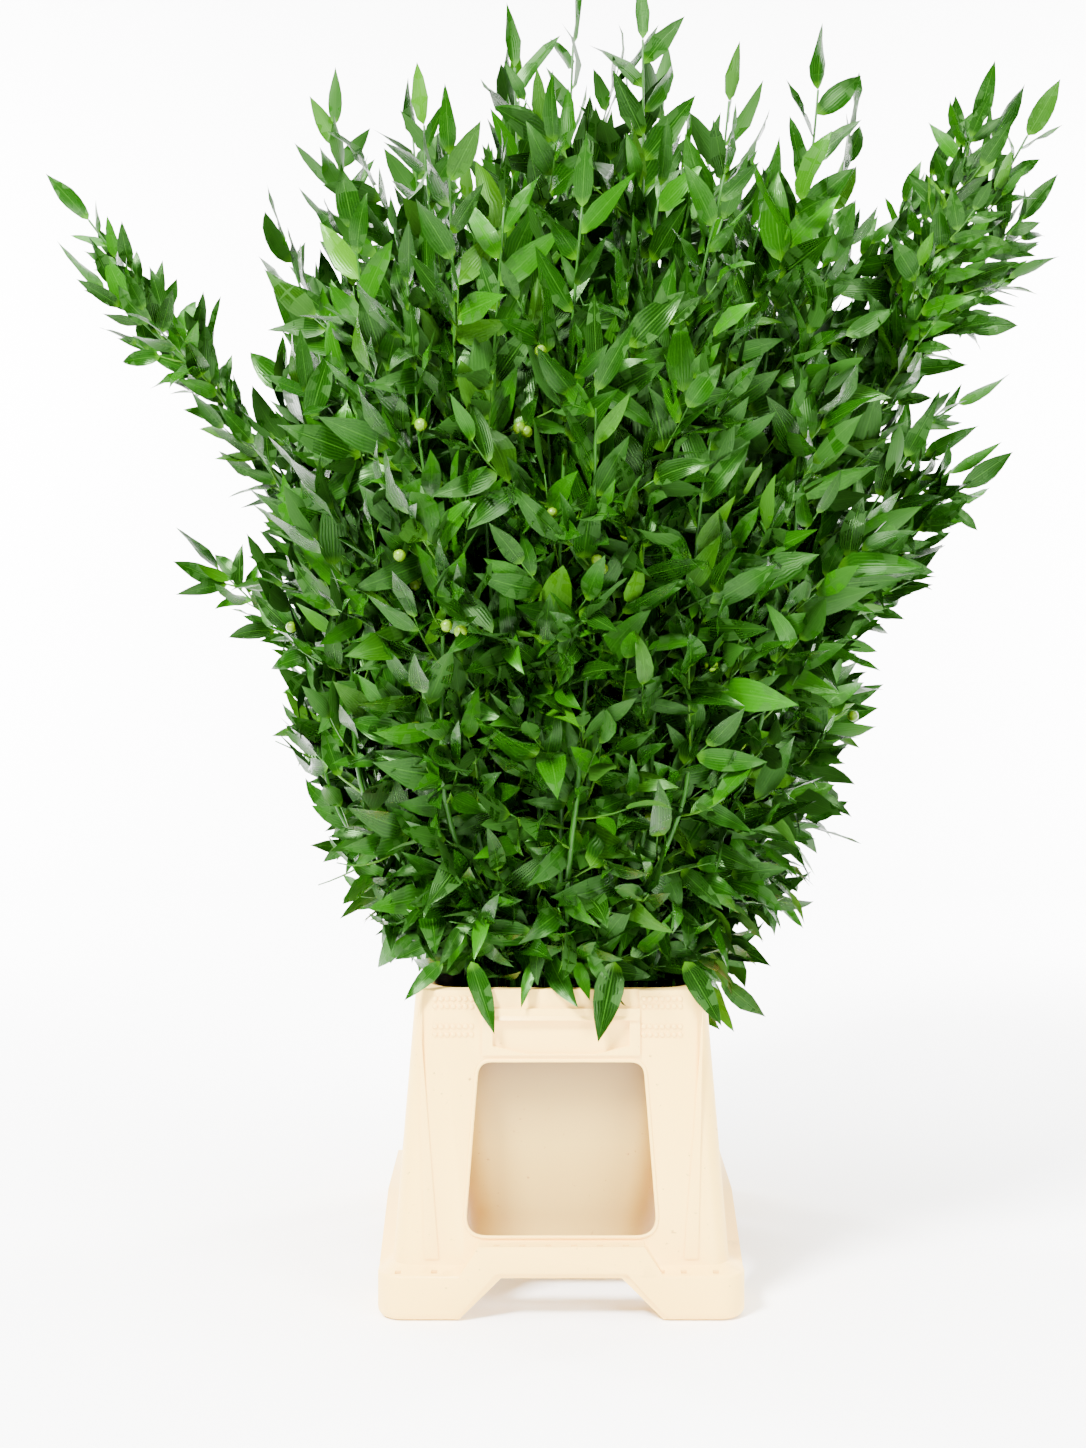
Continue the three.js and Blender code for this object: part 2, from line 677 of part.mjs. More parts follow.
const group = new THREE.Group();
for (const [name, solid] of [['bucket_shell', makeShell()], ['bucket_tub', makeTub()]]) {
  group.add(named(name, toGeometry(solid), CREAM, 0.45));
  place(name, solid);
}

const stems = [];
const nextOn = { outer: 0, inner: 0, middle: 0 };
for (const row of STEMS) {
  const ring = RINGS[row.ring];
  const k = nextOn[row.ring]++;
  const angle = 2 * Math.PI * (k + ring.turn) / ring.count;
  const base = onRing(ring.base, angle, TUB.underside + TUB.wall + GAP);
  const rim = onRing(ring.rim, angle, RIM_LEVEL);
  const curve = new THREE.CatmullRomCurve3([
    rim,
    onRing(ring.hip, angle, HIP_LEVEL),
    onRing(ring.shoulder, angle, SHOULDER_LEVEL),
    vec(...row.tip),
  ]);
  const crowded = row.crowded ?? 0.94;
  const end = 1 - LEAF.end / curve.getLength();
  const pitch = row.ring === 'outer' ? LEAF.pitch : 1.35 * LEAF.pitch;
  const radiusAt = (share) => coreRadius(share, crowded);
  const branch = makeBranch(curve, { from: 0.02, end, pitch, radiusAt, foot: rim });
  const name = `${row.ring}_${String(k + 1).padStart(2, '0')}`;
  const ends = [0, 1 - GAP / (rim.z - base.z)];
  const cane = loft(ends.map((share) => ringAt(base.clone().lerp(rim, share), UPRIGHT, CANE_RADIUS)));
  cane.computeVertexNormals();
  group.add(named(`cane_${name}`, cane, GREENS[0], 0.5));
  if (!isClear(branch, toSolid(cane))) throw new Error(`cane_${name} meets a neighbour`);
  place(branch, toSolid(cane));
  const shoots = (row.shoots ?? []).map((shoot) => addShoot(branch, shoot));
  for (const part of [branch, ...shoots]) {
    const wood = woodOf(part);
    const { whole, blade } = leafRoom(endLeaf(part));
    if (!isClear(part, wood) || !isClear(part, whole)) throw new Error(`${name} meets a neighbour`);
    place(part, wood);
    place(part, whole, blade);
  }
  stems.push({ name, row, branch, shoots, base, rim, crowded });
}

for (const { branch } of stems) addBerry(branch, lerp(0.25, 0.7, random()));

for (const [n, { name, row, branch, shoots, crowded }] of stems.entries()) {
  const lengthAt = (share) => (share < crowded ? LEAF.length : LEAF.spray);
  const low = row.ring === 'outer' ? LEAN.overRim : LEAN.low;
  const leanAt = (share) => {
    const high = lerp(LEAN.low, LEAN.high, share);
    return lerp(low, high, THREE.MathUtils.smoothstep(share, 0, LEAN.eased));
  };
  addLeaves(branch, { lengthAt, leanAt });
  for (const shoot of shoots) addLeaves(shoot, { lengthAt: () => LEAF.spray, leanAt: () => LEAN.high });
  group.add(named(`stem_${name}`, stemSkin(branch), GREENS[n % GREENS.length], 0.5));
}

// Water in the tub, with a plain hole where each cane stands
let water = toSolid(loft([TUB.underside + TUB.wall + GAP, WATER_TOP].map((z) => tubSection(z, -GAP))));
for (const { base, rim } of stems) {
  const radius = CANE_RADIUS + 1.6 * GAP;
  const hole = [-0.05, 0.5].map((share) => ringAt(base.clone().lerp(rim, share), UPRIGHT, radius));
  water = water.subtract(toSolid(loft(hole)));
}
group.add(named('water', toGeometry(water), WATER, 0.05));

export default group;
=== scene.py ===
import json
import math

import bpy
import numpy as np
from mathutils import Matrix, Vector

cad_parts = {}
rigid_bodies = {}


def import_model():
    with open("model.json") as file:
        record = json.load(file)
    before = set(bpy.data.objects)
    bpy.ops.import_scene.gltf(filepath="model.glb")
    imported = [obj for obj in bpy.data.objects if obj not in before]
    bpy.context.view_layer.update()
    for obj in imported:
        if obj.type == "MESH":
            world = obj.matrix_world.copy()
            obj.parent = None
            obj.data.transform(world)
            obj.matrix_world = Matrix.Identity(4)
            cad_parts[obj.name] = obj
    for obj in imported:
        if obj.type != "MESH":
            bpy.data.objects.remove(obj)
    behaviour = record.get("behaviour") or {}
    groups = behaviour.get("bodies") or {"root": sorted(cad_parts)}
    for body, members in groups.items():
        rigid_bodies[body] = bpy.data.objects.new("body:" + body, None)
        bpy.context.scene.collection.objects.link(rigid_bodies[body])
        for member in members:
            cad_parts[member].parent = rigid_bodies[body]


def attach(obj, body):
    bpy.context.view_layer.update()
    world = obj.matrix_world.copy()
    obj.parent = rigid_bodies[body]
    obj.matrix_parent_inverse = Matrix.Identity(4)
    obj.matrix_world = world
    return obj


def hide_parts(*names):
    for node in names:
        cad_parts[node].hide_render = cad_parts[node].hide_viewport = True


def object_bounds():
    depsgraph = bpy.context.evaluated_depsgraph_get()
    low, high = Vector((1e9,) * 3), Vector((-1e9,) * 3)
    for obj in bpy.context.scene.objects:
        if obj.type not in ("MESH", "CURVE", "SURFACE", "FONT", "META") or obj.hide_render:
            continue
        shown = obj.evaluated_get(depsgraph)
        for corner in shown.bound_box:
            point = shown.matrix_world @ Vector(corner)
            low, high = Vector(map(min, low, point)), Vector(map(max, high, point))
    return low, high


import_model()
cadBox = [list(corner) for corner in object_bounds()]
mm = 0.001
rng = np.random.default_rng(20451)


# The camera stands level in front of the bucket, and a small shift lowers the view to the photo's framing.
view = {
    "place": (-0.014, -1.789, 0.549),
    "photoSize": (1086, 1448),
    "focalPx": 2105,
    "horizonPx": 600,
    "sensor": 36,
    "reach": 50,
}


def addCamera(s):
    data = bpy.data.cameras.new("camera")
    camera = bpy.data.objects.new("camera", data)
    bpy.context.collection.objects.link(camera)
    height = s["photoSize"][1]
    data.sensor_width = s["sensor"]
    data.lens = s["sensor"] * s["focalPx"] / height
    data.shift_y = (s["horizonPx"] - height / 2) / height
    data.clip_end = s["reach"]
    camera.location = s["place"]
    camera.rotation_euler = (math.pi / 2, 0, 0)
    bpy.context.scene.camera = camera


addCamera(view)


# Vectors are the last axis of every array
def unit(v):
    return v / np.maximum(np.linalg.norm(v, axis=-1, keepdims=True), 1e-9)


def dot(a, b):
    return np.sum(a * b, axis=-1, keepdims=True)


def turned(v, axis, angle):
    # v turned round a unit axis: v cos a + (axis x v) sin a + axis (axis . v)(1 - cos a)
    angle = np.asarray(angle)[..., None]
    return v * np.cos(angle) + np.cross(axis, v) * np.sin(angle) + axis * dot(axis, v) * (1 - np.cos(angle))


def squareTo(direction, wish):
    # what is left of a wished direction once its part along another is taken off
    return unit(wish - direction * dot(direction, wish))


def spread(low, high, size):
    return rng.uniform(low, high, size)


def smooth(x, low, high):
    t = np.clip((x - low) / (high - low), 0, 1)
    return t * t * (3 - 2 * t)


def bezier(a, b, c, count):
    # quadratic Bezier curve: (1 - t)^2 a + 2 t (1 - t) b + t^2 c
    a, b, c = (np.array(point, dtype=float) for point in (a, b, c))
    t = np.linspace(0, 1, count)[:, None]
    return a * (1 - t) ** 2 + b * 2 * t * (1 - t) + c * t * t


def quarterTurn(steps):
    # rows of 1 - cos q, which grows from 0 to 1, and 1 - sin q, which falls from 1 to 0, to round an edge
    q = np.linspace(0, math.pi / 2, steps)
    return np.stack([1 - np.cos(q), 1 - np.sin(q)], axis=1)


# One mesh from points and from face arrays of any width, with optional corner UVs and point values
def buildMesh(name, points, faceSets, uv=None, values=None, sharpBits=None):
    mesh = bpy.data.meshes.new(name)
    mesh.vertices.add(len(points))
    mesh.vertices.foreach_set("co", np.ascontiguousarray(points, dtype=np.float32).ravel())
    corners = np.concatenate([faces.ravel() for faces in faceSets])
    widths = np.concatenate([np.full(len(faces), faces.shape[1]) for faces in faceSets])
    mesh.loops.add(len(corners))
    mesh.loops.foreach_set("vertex_index", corners.astype(np.int32))
    mesh.polygons.add(len(widths))
    mesh.polygons.foreach_set("loop_start", (np.cumsum(widths) - widths).astype(np.int32))
    mesh.update(calc_edges=True)
    mesh.shade_smooth()
    if uv is not None:
        layer = mesh.uv_layers.new(name="UVMap")
        layer.uv.foreach_set("vector", uv.astype(np.float32).ravel())
    for key, value in (values or {}).items():
        attribute = mesh.attributes.new(key, "FLOAT", "POINT")
        attribute.data.foreach_set("value", value.astype(np.float32))
    if sharpBits is not None:
        # an edge is sharp where both its ends lie on the same margin
        ends = np.empty(2 * len(mesh.edges), dtype=np.int32)
        mesh.edges.foreach_get("vertices", ends)
        ends = ends.reshape(-1, 2)
        sharp = (sharpBits[ends[:, 0]] & sharpBits[ends[:, 1]]) > 0
        mesh.attributes.new("sharp_edge", "BOOLEAN", "EDGE").data.foreach_set("value", sharp)
    return mesh


def addPiece(name, mesh, material, nodes=()):
    piece = bpy.data.objects.new(name, mesh)
    bpy.context.collection.objects.link(piece)
    piece.data.materials.append(material)
    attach(piece, "root")
    if nodes:
        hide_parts(*nodes)


# Materials
def linear(hexColour):
    # sRGB hex to linear: c / 12.92 below 0.04045, else ((c + 0.055) / 1.055) ** 2.4
    channels = [int(hexColour[i:i + 2], 16) / 255 for i in (1, 3, 5)]
    return [c / 12.92 if c <= 0.04045 else ((c + 0.055) / 1.055) ** 2.4 for c in channels] + [1]


def setInputs(material, node, inputs):
    # gives each named or numbered input socket a value or another node's output
    for key, value in inputs.items():
        if isinstance(value, bpy.types.NodeSocket):
            material.node_tree.links.new(value, node.inputs[key])
        else:
            node.inputs[key].default_value = value


def addNode(material, kind, inputs=None, **settings):
    node = material.node_tree.nodes.new(kind)
    for key, value in settings.items():
        setattr(node, key, value)
    setInputs(material, node, inputs or {})
    return node


def newMaterial(name):
    material = bpy.data.materials.new(name)
    material.use_nodes = True
    return material


def setShader(material, inputs):
    shader = next(n for n in material.node_tree.nodes if n.type == "BSDF_PRINCIPLED")
    setInputs(material, shader, inputs)
    return material


def mixColour(material, factor, a, b):
    return addNode(material, "ShaderNodeMix", {0: factor, 6: a, 7: b}, data_type="RGBA").outputs[2]


def calculate(material, operation, *values, clamp=False):
    node = addNode(material, "ShaderNodeMath", dict(enumerate(values)), operation=operation, use_clamp=clamp)
    return node.outputs[0]


def times(material, a, b, clamp=False):
    return calculate(material, "MULTIPLY", a, b, clamp=clamp)


def above(material, value, threshold, steepness):
    # (value - threshold) x steepness, held between 0 and 1
    return times(material, calculate(material, "SUBTRACT", value, threshold), steepness, clamp=True)


def fading(material, value, steepness):
    # 1 - value x steepness, held between 0 and 1
    return calculate(material, "SUBTRACT", 1, times(material, value, steepness), clamp=True)


def objectPlace(material):
    return addNode(material, "ShaderNodeTexCoord").outputs["Object"]


def noise(material, scale, detail):
    inputs = {"Vector": objectPlace(material), "Scale": scale, "Detail": detail}
    return addNode(material, "ShaderNodeTexNoise", inputs).outputs[0]


def pointValue(material, name):
    return addNode(material, "ShaderNodeAttribute", attribute_name=name).outputs["Fac"]


def bumped(material, height, strength, distance):
    inputs = {"Height": height, "Strength": strength, "Distance": distance}
    return addNode(material, "ShaderNodeBump", inputs).outputs[0]


# Ruscus blade: a waxy, leathery cladode. Its cuticle is glossy above and duller and paler below, and fine veins
# run from base to tip, which the eye reads as silky streaks.
leafLook = {
    "deep": "#031600",
    "middle": "#072a00",
    "bright": "#1d5302",
    "young": "#478208",
    "under": "#1c3b10",
    "rib": "#366a1a",
    "sheen": "#b9ffa0",
    "stops": (0.1, 0.55, 0.92),  # where deep, middle and bright stand among the leaves' tints
    "mottleScale": 90,
    "veins": 9,
    "ribSharp": 14,  # the rib fades out over a fourteenth of the half width
    "baseSharp": 7,  # the pale base fades out over a seventh of the length
    "shares": {"mottle": 0.35, "vein": 0.12, "rib": 0.35, "below": 0.6, "base": 0.5},
    "rough": {"least": 0.2, "mottle": 0.14, "below": 0.25},
    "bump": (0.12, 0.0004),
    "specular": 0.24,
}


def waxyLeaf(s):
    material = newMaterial("waxy leaf")
    shares, rough = s["shares"], s["rough"]
    uv = addNode(material, "ShaderNodeUVMap", uv_map="UVMap").outputs[0]
    split = addNode(material, "ShaderNodeSeparateXYZ", {0: uv})
    across, along = split.outputs[0], split.outputs[1]
    below = calculate(material, "GREATER_THAN", across, 1.5)
    # from -1 to 1 across either face; the veins are its cosine
    side = calculate(material, "SUBTRACT", times(material, calculate(material, "MODULO", across, 2), 2), 1)
    wave = calculate(material, "COSINE", times(material, side, s["veins"] * math.pi))
    ramp = addNode(material, "ShaderNodeValToRGB", {0: pointValue(material, "tint")})
    stops = ramp.color_ramp.elements
    low, middle, high = s["stops"]
    stops[0].color, stops[0].position = linear(s["deep"]), low
    stops[1].color, stops[1].position = linear(s["bright"]), high
    stops.new(middle).color = linear(s["middle"])
    mottle = noise(material, s["mottleScale"], 3)
    rib = fading(material, calculate(material, "ABSOLUTE", side), s["ribSharp"])
    base = times(material, fading(material, along, s["baseSharp"]), shares["base"])
    body = ramp.outputs[0]
    for share, colour in (
        (times(material, mottle, shares["mottle"]), "middle"),
        (times(material, wave, shares["vein"], clamp=True), "rib"),
        (times(material, rib, shares["rib"]), "rib"),
        (times(material, below, shares["below"]), "under"),
        (calculate(material, "MAXIMUM", base, pointValue(material, "fresh")), "young"),
    ):
        body = mixColour(material, share, body, linear(s[colour]))
    gloss = calculate(material, "MULTIPLY_ADD", mottle, rough["mottle"], rough["least"])
    return setShader(material, {
        "Base Color": body,
        "Roughness": calculate(material, "MULTIPLY_ADD", below, rough["below"], gloss),
        "Normal": bumped(material, wave, *s["bump"]),
        "Specular IOR Level": s["specular"],
        "Specular Tint": linear(s["sheen"]),
    })


# Green cane: smooth epidermis, a little streaked along its length, yellower at the joints
woodLook = {
    "green": "#24560c",
    "dark": "#123806",
    "joint": "#3f6a0e",
    "streakScale": 60,
    "rough": 0.45,
    "specular": 0.2,
}


def greenWood(s):
    material = newMaterial("green cane")
    body = mixColour(material, noise(material, s["streakScale"], 4), linear(s["dark"]), linear(s["green"]))
    return setShader(material, {
        "Base Color": mixColour(material, pointValue(material, "joint"), body, linear(s["joint"])),
        "Roughness": s["rough"],
        "Specular IOR Level": s["specular"],
    })


# Unripe berry: thin waxy skin over pale flesh
berryLook = {"skin": "#5c7e00", "shade": "#406600", "patchScale": 140, "rough": 0.32, "specular": 0.3}


def waxyBerry(s):
    material = newMaterial("waxy berry")
    patches = noise(material, s["patchScale"], 2)
    return setShader(material, {
        "Base Color": mixColour(material, patches, linear(s["shade"]), linear(s["skin"])),
        "Roughness": s["rough"],
        "Specular IOR Level": s["specular"],
    })


# Moulded polypropylene: satin, a little mottled by the flow, with brown specks and soil on the ledge, and where
# asked a painted shade that darkens it towards the top
plasticLook = {
    "cream": "#ffd46c",
    "mottled": "#fbca60",
    "flowScale": 14,
    "flowShare": 0.6,
    "soil": "#8a5a26",
    "speckScale": 210,
    "specks": (0.71, 12),  # where its noise passes this threshold a speck shows, and how steeply
    "stainScale": 38,
    "stains": (0.6, 5),
    "stainShare": 0.5,
    "soilShare": 0.7,
    "ledge": (0.034, 0.043),  # the heights between which soil gathers, in metres
    "rough": (0.12, 0.4),  # what the mottling adds, and the least
    "grainScale": 900,
    "bump": (0.1, 0.0002),
    "glow": 0.12,
    "glowRadius": (0.009, 0.008, 0.004),
}
# The tub is painted darker than the shell all over, a painted shade of the shell round it, and darker still
# towards the top, a painted shadow of the shell's head over the windows
tubLook = {
    **plasticLook,
    # cream and mottled: the shell's plastic colours made darker, as painted shade
    "cream": "#c8a856",
    "mottled": "#bc9a4a",
    # painted shadow: the colour the tub is darkened to towards its top
    "paintedShade": "#6a4e24",
    "paintedShadeHeights": (0.12, 0.205),  # the heights between which the painted shadow sets in, in metres
}


def mouldedPlastic(s):
    material = newMaterial("moulded polypropylene")
    flow = noise(material, s["flowScale"], 4)
    height = addNode(material, "ShaderNodeSeparateXYZ", {0: objectPlace(material)}).outputs[2]
    body = mixColour(material, times(material, flow, s["flowShare"]), linear(s["cream"]), linear(s["mottled"]))
    # painted shadow: darker above the given heights, where the shell's head shades the tub
    if "paintedShadeHeights" in s:
        low, high = s["paintedShadeHeights"]
        body = mixColour(material, above(material, height, low, 1 / (high - low)), body, linear(s["paintedShade"]))
    low, high = s["ledge"]
    onLedge = calculate(material, "COMPARE", height, (low + high) / 2, (high - low) / 2)
    speck = above(material, noise(material, s["speckScale"], 2), *s["specks"])
    stain = times(material, above(material, noise(material, s["stainScale"], 3), *s["stains"]), onLedge)
    soiled = calculate(material, "MAXIMUM", speck, times(material, stain, s["stainShare"]))
    return setShader(material, {
        "Base Color": mixColour(material, times(material, soiled, s["soilShare"]), body, linear(s["soil"])),
        "Roughness": calculate(material, "MULTIPLY_ADD", flow, *s["rough"]),
        "Normal": bumped(material, noise(material, s["grainScale"], 2), *s["bump"]),
        "Subsurface Weight": s["glow"],
        "Subsurface Radius": s["glowRadius"],
    })


# Clear tap water
waterLook = {"tint": "#e6eee6", "rough": 0.03, "ior": 1.33, "clear": 0.9}


def clearWater(s):
    return setShader(newMaterial("clear water"), {
        "Base Color": linear(s["tint"]),
        "Roughness": s["rough"],
        "IOR": s["ior"],
        "Transmission Weight": s["clear"],
    })


leafMaterial = waxyLeaf(leafLook)
woodMaterial = greenWood(woodLook)
berryMaterial = waxyBerry(berryLook)
plasticMaterial = mouldedPlastic(plasticLook)
tubMaterial = mouldedPlastic(tubLook)
waterMaterial = clearWater(waterLook)


# Stems: the same rings, levels and tips as the solids, in millimetres
rings = {
    "outer": {"count": 14, "turn": 0.5, "canes": 4, "base": (46, 78), "rim": (80, 122), "hip": (168, 180),
              "shoulder": (218, 226)},
    "inner": {"count": 7, "turn": 0, "canes": 3, "base": (22, 42), "rim": (38, 60), "hip": (82, 88),
              "shoulder": (108, 115)},
    "middle": {"count": 1, "turn": 0, "canes": 3, "base": (0, 0), "rim": (0, 0), "hip": (4, -3),
               "shoulder": (-3, 4)},
}
levels = {"base": 40.3, "rim": 250, "hip": 400, "shoulder": 610}
# "crowded" is the share of a stem that stands in the bunch, "twins" is how many canes run loose beside the
# first, "beside" is the way they lie, and "side" is the length of the side shoots there. Each of "shoots" leaves
# the stem at a share of its length and ends at a point.
stems = [
    {"ring": "outer", "tip": (399, 40, 756), "crowded": 0.5, "twins": 3, "side": (35, 80),
     "beside": (0.3, -0.3, -0.7), "shoots": [(0.5, (383, 10, 672)), (0.42, (335, 60, 590))]},
    {"ring": "outer", "tip": (262, 175, 968), "shoots": [(0.62, (412, 60, 842))]},
    {"ring": "outer", "tip": (150, 205, 1020)},
    {"ring": "outer", "tip": (20, 235, 1010)},
    {"ring": "outer", "tip": (-105, 215, 1030)},
    {"ring": "outer", "tip": (-209, 130, 1045)},
    {"ring": "outer", "tip": (-251, 40, 923), "shoots": [(0.32, (-333, 40, 607))]},
    {"ring": "outer", "tip": (-425, -40, 911), "crowded": 0.5, "shoots": [(0.74, (-408, -84, 834))]},
    {"ring": "outer", "tip": (-169, -140, 900)},
    {"ring": "outer", "tip": (-83, -205, 948)},
    {"ring": "outer", "tip": (20, -235, 900)},
    {"ring": "outer", "tip": (132, -215, 930)},
    {"ring": "outer", "tip": (208, -130, 1010)},
    {"ring": "outer", "tip": (414, -60, 985), "crowded": 0.62, "twins": 2, "side": (30, 75),
     "beside": (-0.8, 0.2, 0.4), "shoots": [(0.74, (416, -30, 899)), (0.66, (350, -100, 979))]},
    {"ring": "inner", "tip": (150, 0, 1033)},
    {"ring": "inner", "tip": (98, 95, 1060)},
    {"ring": "inner", "tip": (-46, 110, 1062)},
    {"ring": "inner", "tip": (-133, 52, 1013)},
    {"ring": "inner", "tip": (-114, -62, 996)},
    {"ring": "inner", "tip": (-39, -98, 1036)},
    {"ring": "inner", "tip": (66, -96, 1062)},
    {"ring": "middle", "tip": (14, 6, 1085)},
]

# How far the crowded part of the bunch reaches to the left, to the right and to front and back, by height
bulk = {
    "height": (250, 337, 421, 506, 591, 676, 761, 846, 931, 1100),
    "left": (152, 190, 215, 233, 254, 264, 258, 226, 215, 215),
    "right": (162, 206, 240, 266, 290, 284, 276, 330, 250, 250),
    "deep": (165, 215, 245, 262, 275, 280, 282, 280, 262, 240),
}

# Lengths are in millimetres and angles in radians
growth = {
    "caneShares": (1, 0.94, 0.87, 0.8),  # how much of the stem's length each of its canes has
    "twinShares": (1, 0.97, 0.93, 0.88),  # the same for canes that run loose beside each other
    "caneStretch": (0.95, 1.03),
    "caneSpread": 27,  # how far the canes of one stem stand apart
    "twinSpread": 0.8,  # the same for loose ones, as a share of it
    "caneTurn": 0.6,
    "caneRadius": 2.4,
    "caneTaper": ((0, 0.25, 1), (1.15, 1, 0.4)),  # shares of its length, and of its radius there
    "shootTaper": 0.7,
    "canePoints": {"sampled": 80, "first": 40, "beside": 36, "shoot": 24, "least": 12, "foot": 6},
    "tipRoom": 56,  # a stem ends this far before its tip, and the last blade fills the rest
    "shootRoom": 45,
    "shootBend": (0.55, 0.45, 22),  # shares of its start and end in the middle, and how far that moves on
    "sway": 7,
    "swayTurns": (0.8, 1.7),
    "swayRise": 0.3,
    "inwards": 0.12,
    "inwardsFrom": (300, 500),
    "inwardsTo": (720, 920),
    "bare": 135,  # the top of a cane carries leaves and no shoots
    "goldenAngle": 2.4,
    "side": (24, 62),  # side shoots on a loose end
    "sidePitch": 17,
    "sideEnd": 0.93,
    "sideLean": (0.4, 0.75),
    "shootPitch": 26,
    "shootLength": (80, 150),
    "shootLean": (0.5, 1.4),
    "shootRadius": (1.1, 0.5),
    "shootSteps": 6,
    "lowShoots": (260, 430),  # between these heights shoots stop leaning out further
    "room": {"tries": 4, "least": 0.1, "shorter": 0.78},
    "leafPitch": 13.2,
    "loosePitch": 11.5,
    "leafLength": (38, 74),
    "tipLength": (56, 82),
    "looseLength": (34, 54),
    "lastLength": 53,
    "slender": (0.26, 0.4),
    "leafLean": (0.45, 0.95),
    "lowLeaves": (270, 480),  # between these heights blades stop hanging
    "slots": 13,  # most leaves on one shoot
    "canePitch": {"crowded": 19, "loose": 13},
    "outside": 0.07,  # blades end at most this far outside the bunch's outline, as a share of its reach
    "deepIn": 0.36,  # and those further inside than this share are drawn with fewer stations
}
rimHalf = (113.5 * mm, 159 * mm)
rimTop = 247 * mm


def onRing(size, angle, z):
    return np.array([size[0] * math.cos(angle), size[1] * math.sin(angle), z]) * mm


def pathThrough(knots, share):
    # Cubic Hermite pieces through the knots, each knot's slope being half the chord between its neighbours
    knots = np.asarray(knots)
    slopes = np.gradient(knots, axis=0)
    x = np.clip(share, 0, 1) * (len(knots) - 1)
    k = np.minimum(x.astype(int), len(knots) - 2)
    t = (x - k)[..., None]
    a, b, da, db = knots[k], knots[k + 1], slopes[k], slopes[k + 1]
    return (a * (1 + 2 * t) * (1 - t) ** 2 + da * t * (1 - t) ** 2
            + b * t * t * (3 - 2 * t) + db * t * t * (t - 1))


def lengthOf(path):
    return np.linalg.norm(np.diff(path, axis=0), axis=1).sum()


def evenly(path, count):
    # count points at even steps of length along a path
    steps = np.concatenate([[0], np.cumsum(np.linalg.norm(np.diff(path, axis=0), axis=1))])
    wanted = np.linspace(0, steps[-1], count)
    return np.stack([np.interp(wanted, steps, path[:, i]) for i in range(3)], axis=1)


def shortOf(path, end, room):
    # the part of a path before it comes within some room of its end
    return path[:np.searchsorted(np.linalg.norm(path - end, axis=1) < room * mm, True)]


def overRim(points):
    # Raises what would cut the bucket's rim: inside the rim nothing hangs below it, and outside the limit falls
    # four times as fast as the distance from the rim grows
    out = np.maximum(np.abs(points[..., 0]) - rimHalf[0], np.abs(points[..., 1]) - rimHalf[1])
    low = rimTop + 4 * mm - 4 * np.maximum(out, 0)
    lifted = points.copy()
    lifted[..., 2] = np.where(points[..., 2] > 200 * mm, np.maximum(points[..., 2], low), points[..., 2])
    return lifted


# Tubes round many paths of equally many points, with flat ends
def tubeRings(paths, radii, sides):
    # ring = centre + radius (across cos a + beside sin a)
    tangents = unit(np.gradient(paths, axis=1))
    across = unit(np.cross(np.broadcast_to([0.02, 1.0, 0.01], tangents.shape), tangents))[:, :, None]
    beside = np.cross(tangents, across[:, :, 0])[:, :, None]
    angle = (np.arange(sides) * 2 * np.pi / sides)[:, None]
    return paths[:, :, None] + radii[..., None, None] * (across * np.cos(angle) + beside * np.sin(angle))


def tubeFaces(count, steps, sides):
    i = np.arange(sides)
    j = (i + 1) % sides
    k = np.arange(steps - 1)[:, None] * sides
    quads = np.stack([k + i, k + j, k + sides + j, k + sides + i], axis=-1).reshape(-1, 4)
    ends = np.stack([i[::-1], (steps - 1) * sides + i])
    start = np.arange(count)[:, None, None] * steps * sides
    return [(quads + start).reshape(-1, 4), (ends + start).reshape(-1, sides)]


def woodMesh(name, parts):
    # one mesh of many tubes; each part is (paths, radii, sides, how near a joint its points are)
    points, faces, joints, offset = [], [], [], 0
    for paths, radii, sides, joint in parts:
        rounds = tubeRings(paths, radii, sides)
        points.append(rounds.reshape(-1, 3))
        faces += [face + offset for face in tubeFaces(*rounds.shape[:3])]
        joints.append(np.broadcast_to(np.asarray(joint)[..., None], rounds.shape[:3]).ravel())
        offset += len(points[-1])
    return buildMesh(name, np.concatenate(points), faces, values={"joint": np.concatenate(joints)})


# Blades. Each is closed: a folded upper face of three points across, and a rib below. Those deep in the bunch
# have fewer stations along them.
bladeStations = np.array([0.07, 0.2, 0.36, 0.54, 0.72, 0.87, 0.96])
insideStations = np.array([0.12, 0.4, 0.75])
tipStation = np.array([0.999])
blade = {
    "outline": (0.68, 1.15),
    "straight": 0.02,
    "waves": 1.4,
    "waveHeight": 0.3,
    "ribDepth": 0.7,
}


def bladeWidth(u):
    # widest before the middle, round at the base and drawn out to a point: u^a (1 - u)^b over its greatest
    # value, which lies at u = a / (a + b)
    a, b = blade["outline"]
    widest = a / (a + b)
    return u ** a * (1 - u) ** b / (widest ** a * (1 - widest) ** b)


